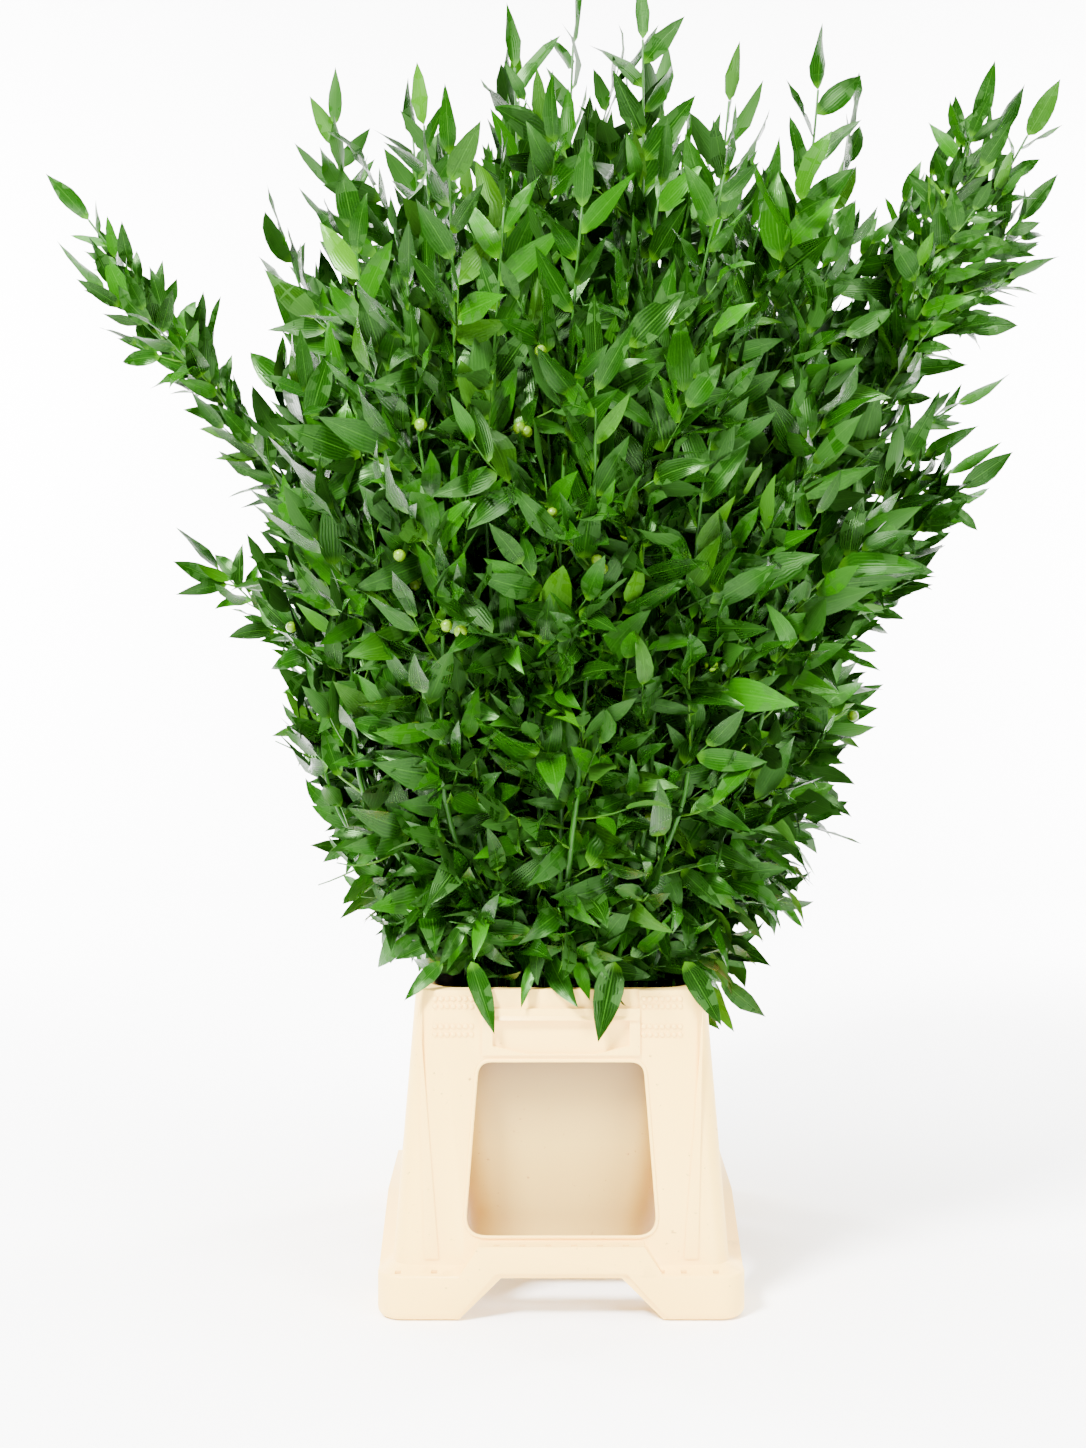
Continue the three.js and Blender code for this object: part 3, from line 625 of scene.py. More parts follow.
def bladePoints(leaves, stations):
    # The centre line is an arc that bends away from the upper face, and the section turns along it:
    # centre = root + d L sin(ku)/k - n L (1 - cos(ku))/k, margins = centre +- side w(u) + up fold w(u)
    u = stations
    k = leaves["bend"][:, None]
    k = np.where(np.abs(k) < blade["straight"], blade["straight"], k)
    length = leaves["length"][:, None]
    d, n = leaves["direction"][:, None], leaves["normal"][:, None]
    b = np.cross(d, n)
    centre = (leaves["root"][:, None] + d * (length * np.sin(k * u) / k)[..., None]
              - n * (length * (1 - np.cos(k * u)) / k)[..., None])
    up = n * np.cos(k * u)[..., None] + d * np.sin(k * u)[..., None]
    turn = (leaves["twist"][:, None] * u)[..., None]
    side = b * np.cos(turn) + up * np.sin(turn)
    up = up * np.cos(turn) - b * np.sin(turn)
    half = leaves["width"][:, None] / 2 * bladeWidth(u)
    wave = np.sin(2 * np.pi * (blade["waves"] * u + leaves["phase"][:, None]))
    wave = leaves["wave"][:, None] * wave * half * blade["waveHeight"]
    rise = (leaves["fold"][:, None] * half)[..., None] * up
    right = centre + side * half[..., None] + rise + up * wave[..., None]
    left = centre - side * half[..., None] + rise - up * wave[..., None]
    rib = centre - up * (blade["ribDepth"] * mm * np.sqrt(1 - u))[:, None]
    return np.stack([left, centre, right, rib], axis=2)


def bladePattern(steps):
    # Faces of one blade, its point order being base, rings of left, middle, right and rib, then tip
    ring = 1 + np.arange(steps - 1)[:, None] * 4
    i = np.arange(4)
    j = (i + 1) % 4
    quads = np.stack([ring + i, ring + 4 + i, ring + 4 + j, ring + j], axis=-1).reshape(-1, 4)
    last = 1 + (steps - 1) * 4
    tip = last + 4
    fans = np.concatenate([
        np.stack([np.zeros(4, int), 1 + i, 1 + j], axis=-1),
        np.stack([np.full(4, tip), last + j, last + i], axis=-1),
    ])
    return quads, fans


def bladeUv(faces, stations):
    # Corner UVs of one blade: across 0 to 1 on the upper face and 2 to 3 below, along 0 to 1
    steps = len(stations)
    along = np.concatenate([[0], np.repeat(stations, 4), [1]])
    column = np.concatenate([[1], np.tile(np.arange(4), steps), [1]])
    across = np.array([0.0, 0.5, 1.0, 0.5])[column[faces]]
    below = (column[faces] == 3).any(axis=1)[:, None]
    return np.stack([across + 2 * below, along[faces]], axis=-1).reshape(-1, 2)


def bladeMesh(name, leaves, stations):
    steps, count = len(stations), len(leaves["length"])
    sections = bladePoints(leaves, stations).reshape(count, -1, 3)
    tips = bladePoints(leaves, tipStation)[:, 0, 1]
    points = overRim(np.concatenate([leaves["root"][:, None], sections, tips[:, None]], axis=1))
    perBlade = points.shape[1]
    start = (np.arange(count) * perBlade)[:, None, None]
    pattern = bladePattern(steps)
    faces = [(part + start).reshape(-1, part.shape[1]) for part in pattern]
    uv = np.concatenate([np.tile(bladeUv(part, stations), (count, 1)) for part in pattern])
    bits = np.concatenate([[3], np.tile([1, 0, 2, 0], steps), [3]])
    values = {key: np.repeat(leaves[key], perBlade) for key in ("tint", "fresh")}
    return buildMesh(name, points.reshape(-1, 3), faces, uv, values, np.tile(bits, count))


def canesOf(row, number):
    # The canes of one stem as point rows from the rim up, the first on the stem's own line and the rest beside
    # it. Each row is (foot, points, share of the points that stands in the crowd).
    ring, s, points = rings[row["ring"]], growth, growth["canePoints"]
    angle = 2 * math.pi * (number + ring["turn"]) / ring["count"]
    tip = np.array(row["tip"]) * mm
    knots = [onRing(ring[level], angle, levels[level]) for level in ("rim", "hip", "shoulder")]
    base = onRing(ring["base"], angle, levels["base"])
    main = pathThrough([*knots, tip], np.linspace(0, 1, points["sampled"]))
    main = shortOf(evenly(main, points["sampled"]), tip, s["tipRoom"])
    if "crowded" not in row:
        # the cane keeps inside the bunch, away from its outer leaves
        z = main[:, 2:] / mm
        main[:, :2] *= 1 - s["inwards"] * smooth(z, *s["inwardsFrom"]) * (1 - smooth(z, *s["inwardsTo"]))
    crowded = row.get("crowded", 1)
    canes = [(base, evenly(main, points["first"]), crowded)]
    for k in range(1, ring["canes"]):
        turn = angle + 2 * math.pi * k / (ring["canes"] - 1) + rng.uniform(-s["caneTurn"], s["caneTurn"])
        away = np.array([math.cos(turn), math.sin(turn), 0]) * s["caneSpread"] * mm
        runsLoose = crowded < 1 and k <= row.get("twins", 0)
        if runsLoose:
            away = np.array(row["beside"]) * k * s["caneSpread"] * s["twinSpread"] * mm
        share = s["twinShares" if runsLoose else "caneShares"][k] * rng.uniform(*s["caneStretch"])
        if crowded < 1 and not runsLoose:
            share *= min(1, crowded * 1.2)
        path = main[:max(points["least"], int(len(main) * min(share, 1)))]
        q = np.linspace(0, 1, len(path))[:, None]
        phase = rng.uniform(0, 6.28, 3)
        sway = s["sway"] * mm * np.sin(2 * math.pi * q * rng.uniform(*s["swayTurns"], 3) + phase)
        sway *= smooth(q, 0, 0.3) * [1, 1, s["swayRise"]]
        path = path + away * (0.3 + 0.7 * smooth(q, 0, 0.35) + 0.5 * q * q) + sway
        canes.append((base + away * 0.3, evenly(path, points["beside"]), crowded if runsLoose else 1))
    for share, far in row.get("shoots", ()):
        k = int(share * (len(main) - 1))
        near, far, along = main[k], np.array(far) * mm, unit(main[k + 1] - main[k])
        nearShare, farShare, onwards = s["shootBend"]
        bend = near * nearShare + far * farShare + along * onwards * mm
        path = shortOf(bezier(near, bend, far, 40), far, s["shootRoom"])
        canes.append((path[0], evenly(path, points["shoot"]), 0))
    return canes


def reach(z, side):
    return np.interp(z / mm, bulk["height"], bulk[side]) * mm


def roomLeft(points):
    # 1 at the middle of the bunch, 0 at its outline, and negative outside
    x, y, z = points[..., 0], points[..., 1], points[..., 2]
    x = x / np.where(x < 0, reach(z, "left"), reach(z, "right"))
    y = y / reach(z, "deep")
    return 1 - np.sqrt(x * x + y * y)


def alongCane(cane, share):
    # the points at these shares of a cane, and the way it runs there
    x = np.minimum(share, 1) * (len(cane) - 1)
    k = np.minimum(x.astype(int), len(cane) - 2)
    t = (x - k)[:, None]
    return cane[k] * (1 - t) + cane[k + 1] * t, unit(cane[k + 1] - cane[k])


def levelOut(points):
    # the level way out from the bunch's middle
    return unit(points * [1, 1, 0] + 1e-5)


def frontwards(outward):
    # the blades of a loose end show their faces to the front, more than outwards
    return outward * 0.25 + [0, -1, 0]


def alongShoot(shoots, q):
    # p(q) = start + first l q + (last - first) l q^2 / 2, for q of one row a shoot
    start, first, last = (shoots[key][:, None] for key in ("start", "first", "last"))
    length, q = shoots["length"][:, None, None], q[..., None]
    return start + first * length * q + (last - first) * 0.5 * length * q ** 2


def shootsOf(cane, crowded, side):
    # Side shoots leave a cane at even steps, turning by the golden angle, and bend up towards its direction
    s = growth
    whole = lengthOf(cane)
    crowdedPart = whole * crowded - (s["bare"] * mm if crowded == 1 else 0)
    dense = max(2, int(crowdedPart / (s["shootPitch"] * mm)))
    share = (np.arange(dense) + spread(0.1, 0.9, dense)) / dense * crowdedPart / whole
    sparse = int((1 - crowded) * whole / (s["sidePitch"] * mm))
    step = (s["sideEnd"] - crowded) / max(sparse, 1)
    share = np.concatenate([share, crowded + step * (np.arange(sparse) + spread(0, 0.8, sparse))])
    count = len(share)
    free = np.arange(count) >= dense
    start, along = alongCane(cane, share)
    outward = levelOut(start)
    azimuth = np.arange(count) * s["goldenAngle"] + spread(-0.6, 0.6, count)
    way = np.stack([np.cos(azimuth), np.sin(azimuth), np.zeros(count)], axis=-1)
    sideways = squareTo(along, way + np.where(free, 0, 0.6)[:, None] * outward)
    low = 1 - smooth(start[:, 2] / mm, *s["lowShoots"])
    lean = np.where(free, spread(*s["sideLean"], count), spread(*s["shootLean"], count) + 0.4 * low)
    first = along * np.cos(lean)[:, None] + sideways * np.sin(lean)[:, None]
    length = np.where(free, spread(*side, count) * (1.3 - share), spread(*s["shootLength"], count)) * mm
    for _ in range(s["room"]["tries"]):
        short = roomLeft(start + first * length[:, None]) < s["room"]["least"]
        length = np.where(short & ~free, length * s["room"]["shorter"], length)
    upright = np.where(free, 0.6, spread(0.05, 0.75, count) + 0.3 * smooth(start[:, 2], 0.7, 0.95))[:, None]
    last = unit(along * upright + first * 0.7 + outward * 0.15 + rng.normal(0, 0.16, (count, 3)))
    return {"start": start, "first": first, "last": last, "length": length, "outward": outward, "free": free}


def leaning(d, face, lean, hand):
    # the way a blade points: off its shoot to one hand, and a little towards the way it faces
    sideways = np.cross(d, face) * (hand * np.sin(lean))[..., None]
    return unit(d * np.cos(lean)[..., None] + sideways + face * 0.1)


def leavesOn(shoots):
    # Blades stand in two rows along a shoot, with a last one at its end
    s = growth
    count, free = len(shoots["length"]), shoots["free"]
    wanted = shoots["length"] / (np.where(free, s["loosePitch"], s["leafPitch"]) * mm)
    wanted = np.clip(np.round(wanted).astype(int), 2, s["slots"])[:, None]
    index = np.arange(s["slots"])
    size = (count, s["slots"])
    q = np.clip((index + 1.0) / wanted, 0, 1)
    root = alongShoot(shoots, q)
    d = unit(shoots["first"][:, None] + (shoots["last"] - shoots["first"])[:, None] * q[..., None])
    outward, free = shoots["outward"], free[:, None]
    # an upper face looks out of the bunch and up, with chance turns for each shoot and each blade
    wish = 0.95 * np.where(free, frontwards(outward), outward) + [0, 0, 0.6] + rng.normal(0, 0.42, (count, 3))
    face = squareTo(d, wish[:, None] + rng.normal(0, 0.3, (*size, 3)))
    lean = np.where(index == wanted - 1, 0.08, spread(*s["leafLean"], size))
    hand = np.where(index % 2 == 0, 1, -1) * np.where(rng.random(count) < 0.5, 1, -1)[:, None]
    low = 1 - smooth(root[..., 2] / mm, *s["lowLeaves"])
    hanging = np.array([0, 0, -0.8]) * (low * spread(0.1, 1, size))[..., None]
    direction = unit(leaning(d, face, lean, hand) + hanging)
    long = np.where(free, spread(*s["looseLength"], size), spread(*s["leafLength"], size)) * mm
    long = long * (0.74 + 0.26 * np.sin(np.pi * np.clip(q, 0.12, 0.9)))
    leaves = {
        "root": root,
        "direction": direction,
        "normal": turned(squareTo(direction, face), direction, rng.normal(0, 0.45, size)),
        "length": long,
        "width": long * spread(*s["slender"], size),
        "bend": rng.normal(0.35, 0.42, size) + 0.5 * low,
    }
    return pick(leaves, index < wanted)


def leavesOnCane(cane, crowded):
    # Alternate blades straight on the cane: all along a loose end, and above the last shoots of a crowded one
    s = growth
    loose = crowded < 1
    whole = lengthOf(cane)
    begin = crowded if loose else max(0.3, 1 - (s["bare"] + 60) * mm / whole)
    pitch = s["canePitch"]["loose" if loose else "crowded"] * mm
    count = max(3, int((1 - begin) * whole / pitch))
    share = begin + (1 - begin) * (np.arange(count) + 1) / count
    root, d = alongCane(cane, share)
    outward = frontwards(levelOut(root)) if loose else levelOut(root)
    common = rng.normal(0, 0.5, 3)
    face = squareTo(d, outward + [0, 0, 0.3] + common + rng.normal(0, 0.35, (count, 3)))
    hand = np.where(np.arange(count) % 2 == 0, 1, -1)
    lean = spread(0.4, 0.8, count)
    lean[-1] = 0.04
    direction = leaning(d, face, lean, hand)
    long = spread(*s["looseLength" if loose else "tipLength"], count) * mm
    long *= 1 - 0.2 * share
    long[-1] = s["lastLength"] * mm
    bend = rng.normal(0.25, 0.35, count)
    bend[-1] = 0.1
    return {
        "root": root,
        "direction": direction,
        "normal": turned(squareTo(direction, face), direction, rng.normal(0, 0.4, count)),
        "length": long,
        "width": long * spread(*s["slender"], count) * 0.94,
        "bend": bend,
    }


def dress(leaves):
    # what every blade has besides its place and size
    count = len(leaves["length"])
    return {
        **leaves,
        "twist": rng.normal(0, 0.6, count),
        "fold": spread(0.1, 0.38, count),
        "wave": spread(0.2, 1, count),
        "phase": spread(0, 1, count),
        "tint": np.clip(rng.normal(0.46, 0.24, count), 0, 1),
        "fresh": np.clip(rng.normal(-0.42, 0.3, count), 0, 0.5),
    }


def inBox(points):
    # whether all of each blade lies in the solids' box
    low, high = np.array(cadBox[0]) + mm, np.array(cadBox[1]) - mm
    return ((points > low) & (points < high)).reshape(len(points), -1).all(axis=1)


def gather(parts):
    return {key: np.concatenate([part[key] for part in parts]) for key in parts[0]}


def pick(leaves, keep):
    return {key: value[keep] for key, value in leaves.items()}


def caneTube(foot, cane, crowded):
    # a cane with its bare part in the bucket; a shoot of a loose end has no such part and is thinner
    points = growth["canePoints"]["foot"]
    whole = np.concatenate([np.linspace(foot, cane[0], points)[:-1], cane])[None]
    radii = np.interp(np.linspace(0, 1, whole.shape[1]), *growth["caneTaper"])[None]
    if crowded == 0:
        whole, radii = cane[None], radii[:, -len(cane):] * growth["shootTaper"]
    return whole, radii * growth["caneRadius"] * mm, 6, 0


def shootTubes(shoots):
    q = np.linspace(0, 1, growth["shootSteps"])
    paths = alongShoot(shoots, np.tile(q, (len(shoots["length"]), 1)))
    radii = np.interp(q, [0, 1], growth["shootRadius"])[None] * np.ones((len(paths), 1)) * mm
    return overRim(paths), radii, 4, np.linspace(0.7, 0, len(q))


def makeStem(row, number):
    name = f"{row['ring']}_{number + 1:02d}"
    nodes = [f"stem_{name}", f"cane_{name}"]
    leaves, wood = [], []
    for foot, cane, crowded in canesOf(row, number):
        shoots = shootsOf(cane, crowded, row.get("side", growth["side"]))
        wood += [caneTube(foot, cane, crowded), shootTubes(shoots)]
        onShoots = leavesOn(shoots)
        room = roomLeft(onShoots["root"] + onShoots["direction"] * onShoots["length"][:, None] * 0.8)
        leaves += [pick(onShoots, (room > -growth["outside"]) | (crowded < 1)), leavesOnCane(cane, crowded)]
    leaves = dress(gather(leaves))
    leaves = pick(leaves, inBox(overRim(bladePoints(leaves, np.array([0.02, 0.5, *tipStation])))))
    deepIn = roomLeft(leaves["root"]) > growth["deepIn"]
    for label, part, stations in (("", ~deepIn, bladeStations), ("_inside", deepIn, insideStations)):
        if part.any():
            mesh = bladeMesh(f"leaves_{name}{label}", pick(leaves, part), stations)
            addPiece(f"leaves_{name}{label}", mesh, leafMaterial, nodes[:1])
    addPiece(f"wood_{name}", woodMesh(f"wood_{name}", wood), woodMaterial, nodes)
    return leaves["root"]


numbers = {"outer": 0, "inner": 0, "middle": 0}
leafRoots = []
for row in stems:
    leafRoots.append(makeStem(row, numbers[row["ring"]]))
    numbers[row["ring"]] += 1
leafRoots = np.concatenate(leafRoots)
print("blades", len(leafRoots))


# A few leaves hang over the bucket's front and back rim. Each row is x at the root and at the tip, the height
# of the tip and the width, in millimetres.
hangers = {
    "rows": [(-70, -51, 218, 17), (42, 28, 212, 23), (96, 124, 224, 19), (-92, -121, 243, 13),
             (-22, -31, 237, 9), (12, 22, 243, 11)],
    "root": (153, 268),  # how far the roots stand off the middle, and their height
    "tip": (168, 257, 0.26),  # off the middle at a height, and how much further with each millimetre below it
    "bend": 0.3,
    "twist": 0.3,
}


def hangLeaves(s):
    x, tipX, tipZ, width = np.array(s["rows"], dtype=float).T
    off, level, slope = s["tip"]
    start = np.stack([x, np.full(len(x), -s["root"][0]), np.full(len(x), s["root"][1])], axis=1) * mm
    end = np.stack([tipX, -off - (level - tipZ) * slope, tipZ], axis=1) * mm
    start, end = (np.concatenate([points, points * [-1, -1, 1]]) for points in (start, end))
    direction = unit(end - start)
    leaves = dress({
        "root": start,
        "direction": direction,
        "normal": squareTo(direction, np.sign(start[:, 1:2]) * np.array([0, 1.0, 0]) + [0, 0, 0.5]),
        "length": np.linalg.norm(end - start, axis=1),
        "width": np.tile(width, 2) * mm,
        "bend": np.full(len(start), s["bend"]),
    })
    leaves["twist"] *= s["twist"]
    addPiece("leaves_over_rim", bladeMesh("leaves_over_rim", leaves, bladeStations), leafMaterial)


hangLeaves(hangers)


# Berries that show from the front, as (x, z) in millimetres on the upright plane through the bunch's middle,
# and the number of further ones round the sides and the back
berries = {
    "front": [(-67, 834), (-118, 698), (-34, 695), (-28, 692), (-16, 761), (69, 730), (-40, 665), (-6, 623),
              (32, 583), (36, 576), (57, 606), (-96, 527), (-84, 522), (-136, 587), (-123, 562), (-228, 526),
              (-122, 441), (232, 547), (238, 545), (296, 547), (277, 501), (262, 452), (153, 427), (129, 494),
              (220, 383), (-149, 360), (75, 365), (-12, 217)],
    "sought": 11,  # how far beside the line of sight a leaf root may stand
    "others": 34,
    "room": (0.02, 0.22),  # how far inside the outline the others grow
    "radius": 4.7,
    "stalk": 9,
    "stalkRadius": 0.45,
    "sag": 1.5,
    "joint": 0.5,
    "flat": 0.12,  # the angle from a berry's pole to its small flat end
}


def makeBerries(s):
    roots, eye = leafRoots, np.array(view["place"])
    places, holds = [], []
    for x, z in s["front"]:
        # the foremost leaf root beside the line of sight carries the berry
        sight = unit(np.array([x * mm, 0, z * mm]) - eye)
        away = roots - eye
        beside = np.linalg.norm(away - dot(away, sight) * sight, axis=1)
        found = roots[beside < s["sought"] * mm]
        if len(found):
            root = found[np.argmin(found[:, 1])]
            places.append(eye + sight * (dot(root - eye, sight) - s["stalk"] * mm))
            holds.append(root)
    low, high = s["room"]
    room = roomLeft(roots)
    edge = np.flatnonzero((room < high) & (room > low) & (roots[:, 1] > -0.05))
    for k in rng.choice(edge, s["others"], replace=False):
        outward = unit(roots[k] * [1, 1, 0])
        places.append(roots[k] + (outward + rng.normal(0, 0.3, 3)) * s["stalk"] * mm)
        holds.append(roots[k])
    places, holds = np.array(places), np.array(holds)
    radius = s["radius"] * mm * spread(0.85, 1.08, len(places))
    # sphere: centre + r (cos p sin q, sin p sin q, -cos q)
    p = np.arange(10) * math.pi / 5
    q = np.linspace(s["flat"], math.pi - s["flat"], 7)[:, None]
    ring = np.stack([np.cos(p) * np.sin(q), np.sin(p) * np.sin(q), -np.cos(q) + 0 * p], axis=-1)
    rounds = places[:, None, None] + radius[:, None, None, None] * ring
    mesh = buildMesh("berries", rounds.reshape(-1, 3), tubeFaces(*rounds.shape[:3]))
    addPiece("berries", mesh, berryMaterial)
    q = np.linspace(0, 1, 4)[None, :, None]
    sag = np.array([0, 0, s["sag"] * mm]) * np.sin(np.pi * q)
    paths = holds[:, None] * (1 - q) + places[:, None] * q + sag
    stalks = [(paths, np.full(paths.shape[:2], s["stalkRadius"] * mm), 4, s["joint"])]
    addPiece("berry_stalks", woodMesh("berry_stalks", stalks), woodMaterial)
    print("berries", len(places))


makeBerries(berries)


# Bucket: the solids' shell and tub, with round edges and the details of the moulding, in millimetres
bucket = {
    "height": 247,
    "foot": (282, 378),
    "footCorner": 20,
    "footEdge": 7,
    "tread": 6,
    "skirtTop": 35,
    "skirtEdge": 2,
    "ledge": 39,
    "base": (260, 350),
    "top": (227, 318),
    "corner": 19,
    "skirtWall": 6,
    "wall": 3,
    "rimEdge": 1.5,
    "gap": 0.3,
    "risers": ({"low": 80, "high": 63, "top": 57}, {"low": 160, "high": 60, "top": 66}),
    "arches": ({"floor": 84, "top": 50, "height": 36.5}, {"floor": 128, "top": 92, "height": 44}),
    "lip": 4,
    "windows": (
        {"sill": 60, "head": 193, "halfSill": 75, "halfHead": 64.5, "behind": 9},
        {"sill": 76, "head": 193, "halfSill": 105, "halfHead": 96, "behind": 6},
    ),
    "sillCorner": 18,
    "headCorner": 11,
    "beadRadius": 1.5,
    "bevel": 0.9,
    "sharpAngle": 32,
}
tub = {
    "open": (200, 290),
    "floor": (150, 236),
    "openCorner": 22,
    "floorCorner": 30,
    "wall": 3,
    "underside": 37,
    "underEdge": 4,
    "floorEdge": 5,
    # from outside over the rim to inside: how far below the bucket's height, and outside the tub's opening
    "rim": ((3, 3), (1.4, 3.5), (0.3, 3.4), (0.1, 1.8), (0.5, 0.2), (1.5, 0)),
    "sharpAngle": 40,
}
quarterSteps = 8


def roundSection(size, corner, z):
    # A rectangle with round corners at one height, anticlockwise from above
    quarter = np.repeat(np.arange(4), quarterSteps + 1)
    angle = (quarter + np.tile(np.linspace(0, 1, quarterSteps + 1), 4)) * math.pi / 2
    side = np.stack([np.where(quarter % 3 == 0, 1, -1), np.where(quarter < 2, 1, -1)], axis=1)
    ring = side * (np.array(size) / 2 - corner) + corner * np.stack([np.cos(angle), np.sin(angle)], axis=1)
    return np.column_stack([ring, np.full(len(ring), z)])


def inset(size, corner, distance, z):
    # the same, drawn in from a rectangle by a distance
    return roundSection(np.array(size) - 2 * distance, corner - distance, z)


def tubSection(z, grow):
    floor = tub["underside"] + tub["wall"]
    share = (z - floor) / (bucket["height"] - floor)
    size = np.array(tub["floor"]) * (1 - share) + np.array(tub["open"]) * share
    return inset(size, tub["floorCorner"] * (1 - share) + tub["openCorner"] * share, -grow, z)


def loft(name, rounds):
    rounds = np.array(rounds) * mm
    return buildMesh(name, rounds.reshape(-1, 3), tubeFaces(1, len(rounds), rounds.shape[1]))


def prisms(name, rows):
    # Outlines of (across, up) points, anticlockwise from outside, pushed through the walls. Each row is
    # (outline, near, far, side): near and far are distances off the middle, one or one for each point, and
    # side 0 is the front, 1 the right, 2 the back and 3 the left.
    points, faces, offset = [], [], 0
    for outline, near, far, side in rows:
        x, z = np.array(outline, dtype=float).T
        turn = side * math.pi / 2
        for distance in (near, far):
            y = -np.broadcast_to(distance, len(x))
            points.append(np.stack([x * math.cos(turn) - y * math.sin(turn),
                                    x * math.sin(turn) + y * math.cos(turn), z], axis=1))
        faces += [face + offset for face in tubeFaces(1, 2, len(x))]
        offset += 2 * len(x)
    return buildMesh(name, np.concatenate(points) * mm, faces)


def trapezoid(halfLow, halfHigh, low, high):
    return [(-halfLow, low), (halfLow, low), (halfHigh, high), (-halfHigh, high)]


def windowOutline(w, grow=0):
    # anticlockwise from the sill's right corner, each corner an arc; the jambs lean inwards
    sill, head = w["sill"] - grow, w["head"] + grow
    slope = (w["halfSill"] - w["halfHead"]) / (w["head"] - w["sill"])
    halfSill, halfHead = w["halfSill"] + grow, w["halfHead"] + grow
    low, high = bucket["sillCorner"] + grow, bucket["headCorner"] + grow
    corners = [
        ((halfSill - low, sill), (halfSill, sill), (halfSill - slope * low, sill + low)),
        ((halfHead + slope * high, head - high), (halfHead, head), (halfHead - high, head)),
    ]
    right = [bezier(*corner, quarterSteps) for corner in corners]
    left = [(points * [-1, 1])[::-1] for points in right[::-1]]
    return np.concatenate(right + left)


def faceAt(z, axis=1):
    # how far the shell's outer face stands off the middle at a height: axis 1 is the front and 0 the sides
    share = (np.asarray(z) - bucket["ledge"]) / (bucket["height"] - bucket["rimEdge"] - bucket["ledge"])
    return (bucket["base"][axis] + (bucket["top"][axis] - bucket["base"][axis]) * share) / 2


def onFront(outline, low, high):
    # a plate that follows the sloping front and back faces, from low to high off the face
    face = faceAt(np.array(outline)[:, 1])
    return [(outline, face + low, face + high, side) for side in (0, 2)]


def solved(name, mesh, steps, bevel):
    # the mesh after a row of booleans, (operation, mesh), and a small bevel on its sharp edges
    base = bpy.data.objects.new(name, mesh)
    bpy.context.collection.objects.link(base)
    helpers = []
    for operation, other in steps:
        helper = bpy.data.objects.new(other.name, other)
        bpy.context.collection.objects.link(helper)
        modifier = base.modifiers.new(other.name, "BOOLEAN")
        modifier.operation, modifier.object, modifier.solver = operation, helper, "EXACT"
        helpers.append(helper)
    rounding = base.modifiers.new("rounding", "BEVEL")
    rounding.width, rounding.segments = bevel * mm, 2
    rounding.limit_method, rounding.angle_limit = "ANGLE", math.radians(38)
    rounding.use_clamp_overlap = True
    evaluated = base.evaluated_get(bpy.context.evaluated_depsgraph_get())
    result = bpy.data.meshes.new_from_object(evaluated)
    for thing in [base, *helpers]:
        bpy.data.objects.remove(thing)
    return result


def shellMesh(b):
    foot, base, top, corner = b["foot"], b["base"], b["top"], b["corner"]
    footEdge, edge, rim = b["footEdge"], b["skirtEdge"], b["rimEdge"]
    skirtWall, wall = b["skirtWall"], b["wall"]
    footCorner, skirtTop, quarter = b["footCorner"], b["skirtTop"], quarterTurn(6)
    outside = [inset(foot, footCorner, footEdge * falls, footEdge * grows) for grows, falls in quarter]
    outside += [inset(foot, footCorner, edge * grows, skirtTop - edge * falls) for grows, falls in quarter]
    outside += [roundSection(base, corner, b["ledge"])]
    outside += [inset(top, corner, rim * grows, b["height"] - rim * falls) for grows, falls in quarterTurn(4)]
    tread = footEdge + b["tread"]
    hollow = [(tread, -1), (tread, footEdge), (skirtWall, tread), (skirtWall, skirtTop - wall)]
    hollow = [inset(foot, footCorner, distance, z) for distance, z in hollow]
    hollow += [inset(base, corner, wall, b["ledge"] - wall), inset(top, corner, wall, b["height"] - wall)]
    room = tub["wall"] + b["gap"]
    opening = [tubSection(tub["underside"], room), tubSection(b["height"] + 1, room)]
    rows = {"risers": [], "roofs": [], "arches": [], "lips": [], "windows": []}
    for side in range(4):
        axis = 1 - side % 2
        face, inner, skin = foot[axis] / 2, base[axis] / 2 - 20, skirtWall / 2
        r, a, w = (b[key][side % 2] for key in ("risers", "arches", "windows"))
        riser = trapezoid(r["low"], r["high"], skirtTop - 4, r["top"])
        rows["risers"].append((riser, inner, face, side))
        roof = trapezoid(r["low"] - skirtWall, r["high"] - wall, skirtTop - 12, r["top"] - wall)
        rows["roofs"].append((roof, inner - 2, face - skirtWall, side))
        rows["arches"].append((trapezoid(a["floor"], a["top"], -1, a["height"]), face - skin, face + 1, side))
        lip = trapezoid(a["floor"] - b["lip"], a["top"] - b["lip"], -1, a["height"] - b["lip"])
        rows["lips"].append((lip, face - tread - 1, face - skin + 0.1, side))
        rows["windows"].append((windowOutline(w), top[axis] / 2 - w["behind"], face + 1, side))
    parts = {key: prisms(key, value) for key, value in rows.items()}
    parts = {**parts, "hollow": loft("hollow", hollow), "opening": loft("opening", opening)}
    cuts = ("hollow", "roofs", "opening", "arches", "lips", "windows")
    steps = [("UNION", parts["risers"])] + [("DIFFERENCE", parts[key]) for key in cuts]
    return solved("shell", loft("shell", outside), steps + frontDetails(frontLook), b["bevel"])


